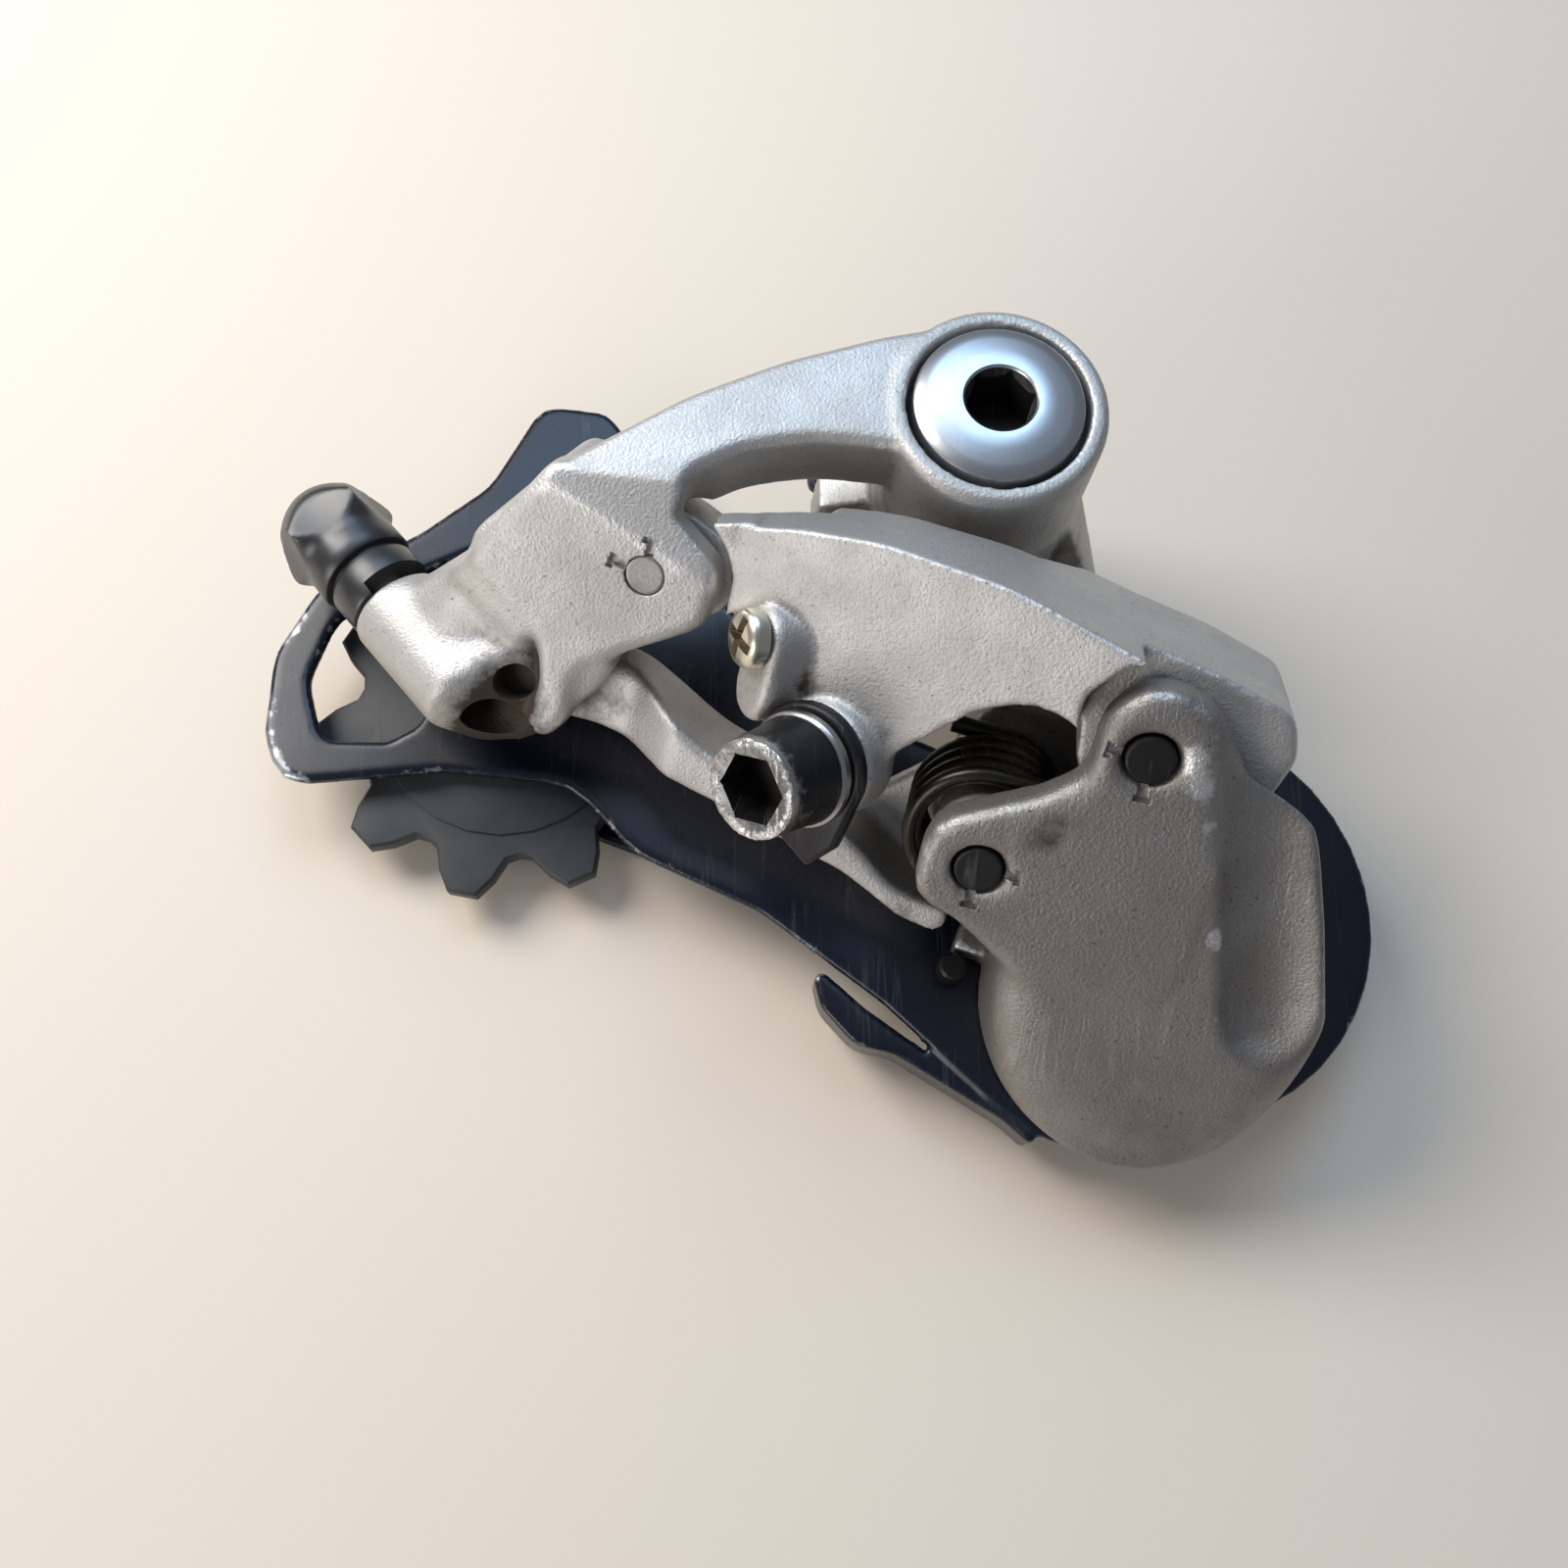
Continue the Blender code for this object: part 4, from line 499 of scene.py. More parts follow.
def grime_and_shade_group():
    """Oily dirt together with painted shade, gathered in hollows and at given spots, broken up by
    noise.
    """
    group, given, out = start_group(
        "crevice_grime_and_shade", (("Amount", 0.5), ("Fineness", 500.0)), ("Mask", "Tone"),
    )
    gathered_grime_and_shade = add_node(group, "ShaderNodeAttribute", attribute_name="grime_and_shade").outputs["Fac"]
    broken = arithmetic(group, "SUBTRACT", noise(group, given["Fineness"], 6.0, 0.72), 0.5)
    mask = mark_mask(group, given, gathered_grime_and_shade, broken, width=0.5, edge=(0.02, 0.30))
    group.links.new(mask, out.inputs["Mask"])
    group.links.new(noise(group, 260.0, 3.0), out.inputs["Tone"])


def scratch_group():
    """Thin crossing scratches from stretched noise."""
    group, given, out = start_group(
        "fine_scratches", (("Fineness", 220.0), ("Width", 0.010)), ("Mask",),
    )
    coordinates = add_node(group, "ShaderNodeTexCoord").outputs["Object"]
    lines = []
    for turn in ((0.3, 0.2, 0.7), (-0.5, 0.4, 2.0)):
        sockets = {"Vector": coordinates, "Rotation": turn, "Scale": (1.0, 0.05, 0.05)}
        stretched = add_node(group, "ShaderNodeMapping", sockets).outputs["Vector"]
        level = noise(group, given["Fineness"], 2.0, 0.5, stretched)
        away = arithmetic(group, "ABSOLUTE", arithmetic(group, "SUBTRACT", level, 0.5), 0.0)
        line = arithmetic(group, "SUBTRACT", 1.0, ramp(group, away, 0.0, given["Width"]))
        lines.append(line)
    both = arithmetic(group, "MAXIMUM", lines[0], lines[1])
    patches = ramp(group, noise(group, 160.0, 3.0), 0.48, 0.62)
    group.links.new(arithmetic(group, "MULTIPLY", both, patches), out.inputs["Mask"])


def use_group(tree, name, **values):
    item = tree.nodes.new("ShaderNodeGroup")
    item.node_tree = bpy.data.node_groups[name]
    for key, value in values.items():
        item.inputs[key.title()].default_value = value
    return item.outputs


def blend_colour(tree, factor, first, second):
    """Mix two colours; the node keeps its factor at input 0 and its colours at inputs 6 and 7."""
    item = tree.nodes.new("ShaderNodeMix")
    item.data_type = "RGBA"
    for socket, value in ((item.inputs[0], factor), (item.inputs[6], first), (item.inputs[7], second)):
        if isinstance(value, bpy.types.NodeSocket):
            tree.links.new(value, socket)
        elif isinstance(value, float):
            socket.default_value = value
        else:
            socket.default_value = (*value, 1.0)
    return item.outputs[2]


def blend_value(tree, factor, first, second):
    """Mix two numbers; the node keeps its factor at input 0 and its numbers at inputs 2 and 3."""
    sockets = {0: factor, 2: first, 3: second}
    return add_node(tree, "ShaderNodeMix", sockets).outputs[0]


# The CAD nodes bring plain materials along, so the finishes' names start with a word of their own
FINISH_PREFIX = "worn_"
GRIME_AND_SHADE_ROUGHNESS = 0.62
COAT_ROUGHNESS = 0.25
SPECK_SHADE = 0.25
SCRATCH_DEPTH = 0.8
# Colours of the grime, which also paint shade into hollows and at given spots
BROWN_GRIME_AND_SHADE = (0.060, 0.038, 0.022)
BLACK_GRIME_AND_SHADE = (0.012, 0.010, 0.008)


def finish(name, colour, shade, worn, metal, rough, worn_rough=0.30, fineness=3000.0, grain=0.25,
           depth=0.05, specks=0.25, wear=0.6, grime_and_shade=0.55, scratches=0.3, coat=0.0, gloss=0.5):
    """Make a worn finish: colours in clouds, specks, scratches, bright edges, and grime with painted
    shade.
    """
    material = bpy.data.materials.new(FINISH_PREFIX + name)
    material.use_nodes = True
    tree = material.node_tree
    surface = tree.nodes["Principled BSDF"]
    grains = use_group(tree, "surface_grain", fineness=fineness)
    worn_mask = use_group(tree, "worn_edges", amount=wear)["Mask"]
    dirt_and_shade = use_group(tree, "crevice_grime_and_shade", amount=grime_and_shade)
    lines = arithmetic(tree, "MULTIPLY", use_group(tree, "fine_scratches")["Mask"], scratches)
    bare = arithmetic(tree, "MAXIMUM", worn_mask, lines)
    base = blend_colour(tree, grains["Clouds"], colour, shade)
    speck = arithmetic(tree, "MULTIPLY", grains["Specks"], specks)
    base = blend_colour(tree, speck, base, shaded(shade, SPECK_SHADE))
    base = blend_colour(tree, bare, base, worn)
    # Grime with painted shade darkens the base colour
    soil_and_shade = blend_colour(tree, dirt_and_shade["Tone"], BLACK_GRIME_AND_SHADE, BROWN_GRIME_AND_SHADE)
    base = blend_colour(tree, dirt_and_shade["Mask"], base, soil_and_shade)
    tree.links.new(base, surface.inputs["Base Color"])
    roughness = blend_value(tree, grains["Clouds"], rough, min(rough + 0.10, 1.0))
    roughness = blend_value(tree, bare, roughness, worn_rough)
    roughness = blend_value(tree, dirt_and_shade["Mask"], roughness, GRIME_AND_SHADE_ROUGHNESS)
    tree.links.new(roughness, surface.inputs["Roughness"])
    metallic = blend_value(tree, bare, metal, 1.0)
    metallic = blend_value(tree, dirt_and_shade["Mask"], metallic, 0.0)
    tree.links.new(metallic, surface.inputs["Metallic"])
    surface.inputs["Specular IOR Level"].default_value = gloss
    surface.inputs["Coat Weight"].default_value = coat
    surface.inputs["Coat Roughness"].default_value = COAT_ROUGHNESS
    furrows = arithmetic(tree, "MULTIPLY", lines, SCRATCH_DEPTH)
    height = arithmetic(tree, "SUBTRACT", grains["Height"], furrows)
    bump = add_node(
        tree, "ShaderNodeBump", {"Height": height, "Strength": grain, "Distance": depth * MM},
    )
    tree.links.new(bump.outputs["Normal"], surface.inputs["Normal"])


def shaded(colour, share):
    return tuple(share * part for part in colour)


def make_finishes(settings):
    grain_group()
    wear_group()
    grime_and_shade_group()
    scratch_group()
    cast = tuple(settings.cast.colour)
    cage = tuple(settings.finish.cage)
    zinc = tuple(settings.finish.zinc)
    plastic = tuple(settings.finish.plastic)
    pulley = tuple(settings.finish.pulley)
    bright = (0.72, 0.71, 0.70)
    finish("blasted_alloy", cast, shaded(cast, 0.84), bright, 0.88, 0.51, worn_rough=0.46,
           fineness=3200.0, grain=0.90, depth=0.09, specks=0.70, wear=0.46, grime_and_shade=0.62, scratches=0.12)
    # The knuckle's alloy is a darker, browner copy of the cast colour: painted shade on that part,
    # over its brownish film
    film_and_shade = shaded(cast, 0.56)
    finish("filmed_and_shaded_alloy", film_and_shade, (0.78 * film_and_shade[0], 0.73 * film_and_shade[1], 0.68 * film_and_shade[2]), bright, 0.88, 0.48,
           worn_rough=0.42, grain=0.95, depth=0.10, specks=0.80, wear=0.46, grime_and_shade=0.62, scratches=0.16)
    finish("polished_steel", (0.60, 0.61, 0.63), (0.50, 0.51, 0.53), bright, 1.0, 0.27,
           fineness=1500.0, grain=0.05, specks=0.05, wear=0.4, grime_and_shade=0.5, scratches=0.35)
    finish("plain_steel", (0.42, 0.41, 0.40), (0.30, 0.29, 0.28), bright, 1.0, 0.34,
           grain=0.12, grime_and_shade=0.6)
    finish("black_oxide", (0.022, 0.022, 0.024), (0.014, 0.014, 0.015), (0.45, 0.44, 0.43), 0.55, 0.36,
           grain=0.3, specks=0.1, wear=0.55, grime_and_shade=0.3, scratches=0.15)
    finish("bare_ring", (0.34, 0.335, 0.33), (0.14, 0.14, 0.14), bright, 1.0, 0.42,
           fineness=2200.0, grain=0.9, depth=0.12, specks=0.8, wear=0.2, grime_and_shade=0.3, scratches=0.6)
    # Near-black finish for the inside of the bolt's socket
    finish("near_black_socket", (0.030, 0.030, 0.031), (0.012, 0.012, 0.012), (0.30, 0.29, 0.28), 0.6, 0.45,
           grain=0.4, specks=0.4, wear=0.5, grime_and_shade=0.5)
    finish("dark_pin", (0.036, 0.035, 0.033), (0.018, 0.018, 0.017), (0.26, 0.25, 0.24), 0.70, 0.42,
           grain=0.4, specks=0.5, grime_and_shade=0.4, scratches=0.35)
    finish("grey_pin", (0.36, 0.35, 0.33), (0.24, 0.235, 0.22), bright, 0.9, 0.40,
           grain=0.4, specks=0.5, wear=0.5, grime_and_shade=0.5, scratches=0.4)
    finish("yellow_zinc", zinc, shaded(zinc, 0.7), (0.75, 0.70, 0.58), 1.0, 0.26,
           grain=0.15, specks=0.3, wear=0.5, grime_and_shade=0.7)
    finish("oiled_wire", (0.055, 0.047, 0.038), (0.022, 0.019, 0.016), (0.42, 0.38, 0.30), 0.9, 0.26,
           grain=0.15, specks=0.3, wear=0.45, grime_and_shade=0.5, scratches=0.2)
    finish("cage_paint", cage, shaded(cage, 0.75), (0.50, 0.51, 0.53), 0.0, 0.22,
           worn_rough=0.40, grain=0.08, specks=0.0, wear=0.50, grime_and_shade=0.25, scratches=0.05, gloss=0.42)
    finish("adjuster_plastic", plastic, shaded(plastic, 1.5), (0.05, 0.05, 0.05), 0.0, 0.36,
           worn_rough=0.5, grain=0.15, specks=0.0, wear=0.4, grime_and_shade=0.2, scratches=0.05, coat=0.2,
           gloss=0.8)
    finish("pulley_plastic", pulley, shaded(pulley, 1.5), (0.08, 0.08, 0.085), 0.0, 0.48,
           worn_rough=0.5, grain=0.2, specks=0.1, wear=0.4, grime_and_shade=0.4, scratches=0.1, gloss=0.4)
    finish("seal_rubber", (0.018, 0.018, 0.018), (0.03, 0.03, 0.03), (0.05, 0.05, 0.05), 0.0, 0.65,
           grain=0.3, specks=0.1, wear=0.2, grime_and_shade=0.4, scratches=0.0)
    finish("bush_bronze", (0.46, 0.30, 0.16), (0.34, 0.22, 0.12), (0.66, 0.48, 0.28), 1.0, 0.34,
           grain=0.15, specks=0.3, wear=0.4, grime_and_shade=0.5, scratches=0.2)


def material_of(name):
    return bpy.data.materials[FINISH_PREFIX + name]


class DERAILLEUR_OT_finishes(bpy.types.Operator):
    """Make the finishes and put them on the CAD nodes that stay in view"""
    bl_idname = "derailleur.finishes"
    bl_label = "Finishes"

    def execute(self, context):
        make_finishes(context.scene.derailleur)
        kept = {
            "plain_steel": ("adjuster_stem", "pivot_axle", "guide_cap_outer", "guide_cap_inner",
                            "tension_cap_outer", "tension_cap_inner"),
            "black_oxide": ("retaining_ring", "cage_stop_pin"),
            "seal_rubber": ("pivot_seal",),
            "bush_bronze": ("axle_bushing", "guide_bushing", "tension_bushing"),
        }
        for name, nodes in kept.items():
            for node in nodes:
                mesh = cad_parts[node].data
                for index in range(len(mesh.materials)):
                    mesh.materials[index] = material_of(name)
        return {"FINISHED"}


def stake_marks(piece, pin, angles, head=PIN_RADIUS):
    """Punch the staking notches that hold a pin into the casting round its head."""
    long_notch = (1.7, 0.85, 1.1)
    cross_notch = (0.65, 1.6, 0.8)
    edge = 0.1
    matrix, length = spindle(pin, LINK.col[2].to_3d())
    notches = ((long_notch, (head + 0.8, 0.0, length)), (cross_notch, (head + 1.5, 0.1, length)))
    for angle in angles:
        for size, at in notches:
            cutter = block(size, at, math.radians(angle), edge)
            place(cutter, matrix)
            cut(piece, cutter)


# Soft zones of the castings: two ends in the link frame, reach in millimetres, smoothing passes
BRACKET_ZONES = (
    ((-17.9, -3.2, -10.4), (-9.5, -9.3, -10.4), 3.4, 40),
    ((-22.5, -9.8, -15.0), (-16.0, -12.6, -14.0), 6.0, 110),
    ((-9.2, -11.0, -12.0), (-8.6, -18.0, -12.5), 2.4, 30),
    ((-2.6, -13.6, -11.2), (-6.6, -18.6, -12.8), 3.4, 50),
    ((0.5, -8.5, -10.4), (-5.0, -13.0, -10.4), 3.0, 30),
)
LINK_ZONES = (
    ((21.0, -11.4, -6.5), (23.0, -11.0, -6.5), 10.0, 60),
    ((58.0, 0.0, -8.0), (62.0, 2.0, -8.0), 6.0, 60),
)
INNER_ZONES = (((-4.0, -16.0, -18.0), (30.0, -22.0, -16.0), 12.0, 130),)

# Wear, and grime with painted shade: place in the link frame, reach in millimetres, strength
BRACKET_WEAR = (
    (-12.4, 7.4, -10.0, 2.6, 0.60), (-9.0, 6.8, -10.0, 2.2, 0.55), (-6.0, 5.6, -10.0, 2.4, 0.60),
    (-3.0, 4.6, -10.0, 2.4, 0.60), (0.0, 3.4, -10.0, 2.2, 0.60), (3.0, 2.4, -10.0, 2.4, 0.60),
    (6.6, 1.2, -10.0, 2.0, 0.50),
    (19.1, 15.9, -18.2, 1.5, 1.2),
)
BRACKET_GRIME_AND_SHADE = (
    # Painted shade with dirt on the dark oblique end face of the cable boss and on the lip below it
    (-11.8, -16.4, -11.6, 4.6, 1.0), (-15.5, -19.5, -12.0, 3.6, 0.9), (-3.0, -12.5, -15.0, 4.5, 0.4),
    (-10.0, -21.5, -13.6, 4.0, 1.1), (-15.5, -24.0, -14.0, 3.4, 1.0), (-7.0, -19.0, -13.6, 2.2, 0.7),
    # Painted shade in the trough under the arm and on the boss's side
    (13.2, 7.6, -26.8, 7.0, 0.45), (25.6, 8.4, -30.4, 8.0, 0.50), (34.7, 6.3, -31.2, 7.0, 0.38),
    (40.3, 5.6, -33.3, 7.0, 0.28),
)
# Grime on the outer link, with painted shade in its recesses
LINK_GRIME_AND_SHADE = (
    (26.7, -10.3, -4.0, 1.6, 0.45), (27.1, -6.4, -4.0, 1.3, 0.40), (15.5, -6.0, -8.0, 3.0, 0.45),
    (16.0, -15.0, -9.0, 4.0, 0.45), (6.0, 4.5, -16.0, 3.0, 0.4), (12.7, -8.0, -8.0, 3.0, 0.38),
)
LINK_WEAR = ((32.6, 5.0, -3.0, 1.2, 0.9), (12.0, 7.0, -8.5, 1.6, 0.5))
INNER_GRIME_AND_SHADE = (
    # The spot at the rear of the inner link is painted shadow under the rear ear, with some dirt
    (33.2, -27.4, -9.0, 4.0, 0.5), (-6.0, -17.0, -15.0, 6.5, 0.6), (20.0, -22.0, -14.0, 5.0, 0.30),
)
PIVOT_WEAR = (
    (54.8, -1.2, 0.0, 1.6, 0.9), (53.4, 1.4, 0.0, 1.3, 0.8), (56.6, -4.7, 0.0, 1.5, 0.6),
    (61.3, -15.5, 0.0, 1.2, 0.8),
)
PIVOT_GRIME = (
    (44.4, -8.2, -1.0, 2.6, 0.75), (42.9, -10.8, -0.5, 2.2, 0.6), (49.4, 6.0, -5.3, 2.4, 0.6),
    (40.0, -14.0, -0.5, 2.2, 0.25),
)
CAGE_WEAR = (
    (-40.2, -29.7, -17.2, 3.2, 0.42), (-41.4, -23.0, -24.0, 3.0, 0.35),
    (-37.7, -34.3, -12.6, 3.0, 0.40),
)


def hull(bars, corners=()):
    """One closed form stretched round some bars and corners."""
    if not bars:
        bars = [block((0.1, 0.1, 0.1), LINK @ Vector(corners[0]))]
    whole = bars[0]
    if len(bars) > 1:
        join(whole, bars[1:])
    first = len(whole.data.vertices)
    whole.data.vertices.add(len(corners))
    for index, corner in enumerate(corners):
        whole.data.vertices[first + index].co = LINK @ Vector(corner) * MM
    edit_all(whole)
    bpy.ops.mesh.convex_hull()
    leave_edit()
    return whole


def arm_room(lean):
    """A cutter with the room that the inner link needs when it leans over by an angle."""
    reach = 18.0
    far = (INNER_PIN[0] + reach * math.cos(lean), INNER_PIN[1] + reach * math.sin(lean))
    return hull([bar(*EYE_ROOM, pin_line(*end)) for end in (INNER_PIN, far)])


def cable_web():
    """The wall from the cable boss to the tongue of the rear ear, and the valley behind it."""
    boss = pointing(CABLE_EXIT, CABLE_RUN)
    rim = (
        (-9.4, -9.8, -12.6), (-8.6, -18.2, -13.2), (-9.4, -9.8, -14.6), (-8.6, -18.2, -14.6),
        (-6.4, -19.6, -13.2), (-6.4, -19.6, -14.6), (-10.2, -23.4, -14.2), (-15.1, -25.2, -14.6),
    )
    wall = hull([bar(5.2, -3.6, -0.1, boss)], rim)
    for lean in (-22.0, -45.0):
        cut(wall, arm_room(math.radians(lean)))
    roll_axis = Vector(ROLL_TOP) - Vector(ROLL_END)
    roll = pointing(ROLL_END, roll_axis)
    valley = hull([bar(3.6, -12.5, -4.6, boss), bar(5.4, 3.6, roll_axis.length - 0.6, roll)])
    collar = bar(3.2, -11.4, -10.05, pin_line(0.0, 0.0))
    edge = (
        (-8.8, -11.0, -10.4), (-3.4, -9.6, -10.3), (-1.4, -10.4, -10.5), (-2.7, -13.8, -11.0),
        (-4.7, -16.4, -11.6), (-6.4, -18.8, -12.6), (-8.6, -18.4, -12.8),
    )
    tongue = hull([], edge + tuple((u, v, -14.6) for u, v, w in edge))
    join(wall, (valley, collar, tongue))
    return wall


def ear_flank():
    """A cutter for the flank of the rear ear, which falls from the worn ridge towards the arm."""
    start, stop = (Vector(end) for end in EAR_RIDGE)
    across = (stop - start).orthogonal().normalized()
    corners = []
    for end in (start, stop):
        for reach in (0.0, 16.0):
            u, v = end + across * reach
            corners += [(u, v, EAR_FACE - FLANK_SLOPE * reach), (u, v, EAR_FACE + 6.0)]
    return hull([], corners)


def link_heel():
    """The heel of the outer link, hollowed round the rear pin so that it clears the ear."""
    outline = ((5.5, 7.2), (9.5, 8.4), (9.5, 0.0), (8.7, -0.4))
    heel = hull([], [(u, v, w) for u, v in outline for w in (-13.2, -9.05)])
    cut(heel, bar(LINK_REAR_ROUND, -15.0, -7.0, pin_line(0.0, 0.0), 64))
    return heel


def casting(cast, node, name, zones, filler=None, trim=None):
    piece = softened(node, name, cast.voxel, cast.rounds, filler, trim)
    for start, stop, reach, rounds in zones:
        soften_zone(piece, away_from(points_of(piece), start, stop), reach, rounds)
    return piece


def ease_bell(piece):
    """Let the slanted face of the bell run over into its side in one broad curve."""
    edge_radius = 15.5
    edge_depth = -2.0
    points = points_of(piece)
    across = np.hypot(points[:, 0] - PIVOT_AXIS[0], points[:, 1] - PIVOT_AXIS[1])
    depth = (points - np.array(REAR_PIN)) @ np.array(LINK.col[2].to_3d())
    distance = np.hypot(across - edge_radius, depth - edge_depth)
    soften_zone(piece, distance, reach=7.0, rounds=130)


def finish_casting(piece, body, node, alloy="blasted_alloy"):
    finish_piece(piece, body, alloy, (node,))


class DERAILLEUR_OT_castings(bpy.types.Operator):
    """Round off the four castings, punch their stake marks and mark their wear, grime and painted
    shade
    """
    bl_idname = "derailleur.castings"
    bl_label = "Castings"

    def execute(self, context):
        cast = context.scene.derailleur.cast
        web = cable_web()
        flank = ear_flank()
        bracket = casting(cast, "bracket_knuckle", "bracket_casting", BRACKET_ZONES, web, flank)
        cut(bracket, bar(CABLE_HOLE, -5.0, 8.0, pointing(CABLE_EXIT, CABLE_RUN)))
        inner_pin = pin_line(*INNER_PIN)
        cut(bracket, bar(INNER_PIN_HOLE, -13.5, -5.0, inner_pin))
        cut(bracket, bar(*EYE_ROOM, inner_pin, 48))
        mark_surface(bracket, 0.34, 1.00, BRACKET_WEAR, BRACKET_GRIME_AND_SHADE)
        cut(bracket, bar(SMALL_HEAD + HEAD_GAP, -11.5, -9.0, pin_line(0.0, 0.0), 48))
        stake_marks(bracket, "rear_outer_pin", (168, 88), SMALL_HEAD)
        finish_casting(bracket, "bracket", "bracket_knuckle")

        outer = casting(cast, "outer_link", "outer_link_casting", LINK_ZONES, link_heel())
        mark_surface(outer, 0.60, 0.60, LINK_WEAR, LINK_GRIME_AND_SHADE)
        finish_casting(outer, "outer_arm", "outer_link")

        inner = casting(cast, "inner_link", "inner_link_casting", INNER_ZONES)
        mark_surface(inner, 0.34, 1.10, (), INNER_GRIME_AND_SHADE)
        finish_casting(inner, "inner_arm", "inner_link")

        pivot = casting(cast, "pivot_knuckle", "pivot_casting", ())
        ease_bell(pivot)
        mark_surface(pivot, 0.30, 0.60, PIVOT_WEAR, PIVOT_GRIME)
        stake_marks(pivot, "front_outer_pin", (180, 275))
        stake_marks(pivot, "front_inner_pin", (5, 272))
        # The knuckle takes the darker alloy, which paints shade on it
        finish_casting(pivot, "knuckle", "pivot_knuckle", "filmed_and_shaded_alloy")
        return {"FINISHED"}


class DERAILLEUR_OT_cage(bpy.types.Operator):
    """Round off the two painted cage plates and mark their worn edges"""
    bl_idname = "derailleur.cage"
    bl_label = "Cage plates"

    def execute(self, context):
        cast = context.scene.derailleur.cast
        for side in ("outer", "inner"):
            node = f"cage_{side}_plate"
            piece = softened(node, side + "_pressing", cast.plate_voxel, cast.plate_rounds)
            mark_surface(piece, 0.9, 0.5, CAGE_WEAR)
            finish_piece(piece, "cage", "cage_paint", (node,))
        return {"FINISHED"}


def mounting_bolt():
    """The threaded bolt with its domed head and its dark socket."""
    rings = [(4.1, 0.0)]
    for turn in range(11):
        rings.append((4.95, 0.9 + turn))
        rings.append((4.35, 1.4 + turn))
    rings += [
        (4.95, 11.9), (4.95, 12.3), (4.5, 12.4), (4.5, 14.1), (5.0, 14.1), (5.0, 38.5), (8.3, 38.5),
        (8.5, 38.7), (8.5, 41.7), (8.4, 42.1), (8.1, 42.35), (7.0, 42.62), (5.6, 42.92),
        (4.4, 43.1), (3.75, 43.1), (3.5, 42.9), (3.2, 42.3), (2.9, 42.1),
    ]
    key = 6.0
    socket_radius = 3.45
    socket_level = 37.0
    bolt = turned("mounting_bolt_turned", rings, 72)
    cut(bolt, six_sided(key, socket_level + 0.2, 44.0, math.radians(100.0)))
    soft_shade(bolt, TURNED_ANGLE)
    finish_piece(bolt, "mount", "polished_steel", ("mounting_bolt",))
    bolt.data.materials.append(material_of("near_black_socket"))
    # Faces inside the socket get the near-black finish
    for face in bolt.data.polygons:
        across = math.hypot(face.center.x, face.center.y)
        if face.center.z > socket_level * MM and across < socket_radius * MM:
            face.material_index = 1


def chew(bolt, level):
    """Roughen the end face round the socket, as a slipped key leaves it."""
    spread = 0.03
    lift = 0.035
    dice = np.random.default_rng(5)
    for vertex in bolt.data.vertices:
        if vertex.co.z < level * MM:
            continue
        outward = Vector((vertex.co.x, vertex.co.y, 0.0)).normalized()
        vertex.co += outward * float(dice.normal(0.0, spread)) * MM
        vertex.co.z += float(dice.normal(0.0, lift)) * MM


def cable_bolt():
    """The cable bolt with its chewed ring, and the clamp plate under it."""
    matrix, length = spindle("cable_bolt", (0.0, 0.0, 1.0))
    seat = length - 10.5
    head = (
        (2.4, 2.3), (5.5, 2.3), (5.7, 2.5), (5.7, 3.2), (5.5, 3.5), (5.3, 3.6), (5.25, 4.4),
        (5.15, 5.8), (5.05, 7.2), (4.95, 8.6), (4.9, 9.5), (4.85, 10.05), (4.8, 10.3), (4.6, 10.45),
        (4.2, 10.5), (3.8, 10.48), (3.4, 10.3),
    )
    rings = [(1.9, 0.0), (2.4, 0.6)] + [(radius, seat + rise) for radius, rise in head]
    bolt = turned("cable_bolt_turned", rings, 96)
    ring_level = seat + 10.2
    chew(bolt, ring_level)
    right = matrix.to_3x3().inverted() @ Vector((1.0, 0.0, 0.0))
    corner = math.atan2(right.y, right.x)
    key = 6.2
    cut(bolt, six_sided(key, seat + 5.4, seat + 12.0, corner - math.pi / 2.0))
    soft_shade(bolt, TURNED_ANGLE)
    ends = [face.index for face in bolt.data.polygons
            if face.center.z > ring_level * MM and face.normal.z > 0.35]
    place(bolt, matrix)
    mark_surface(bolt, 0.30, 0.5)
    finish_piece(bolt, "outer_arm", "black_oxide", ("cable_bolt",))
    bolt.data.materials.append(material_of("bare_ring"))
    for index in ends:
        bolt.data.polygons[index].material_index = 1
    plate = eased("cable_clamp_plate", "clamp_washer", 0.22)
    finish_piece(plate, "outer_arm", "black_oxide", ("cable_clamp_plate",))


def link_pins():
    plans = (
        ("rear_outer_pin", "bracket", "grey_pin"), ("rear_inner_pin", "bracket", "dark_pin"),
        ("front_outer_pin", "knuckle", "dark_pin"), ("front_inner_pin", "knuckle", "dark_pin"),
    )
    for node, body, finish_name in plans:
        matrix, length = spindle(node, LINK.col[2].to_3d())
        head = SMALL_HEAD if node == "rear_outer_pin" else PIN_RADIUS
        rings = [
            (1.9, 0.0), (PIN_RADIUS, 0.4), (PIN_RADIUS, length - 1.6), (head, length - 1.5),
            (head, length - 0.25), (head - 0.1, length - 0.06), (head - 0.25, length),
            (head - 0.35, length), (head - 0.6, length),
        ]
        pin = turned(node + "_turned", rings, 56)
        soft_shade(pin)
        place(pin, matrix)
        finish_piece(pin, body, finish_name, (node,))


class DERAILLEUR_OT_bolts(bpy.types.Operator):
    """Turn the mounting bolt, the cable bolt and the link pins, and ease the cable clamp"""
    bl_idname = "derailleur.bolts"
    bl_label = "Bolts and pins"

    def execute(self, context):
        mounting_bolt()
        cable_bolt()
        link_pins()
        return {"FINISHED"}


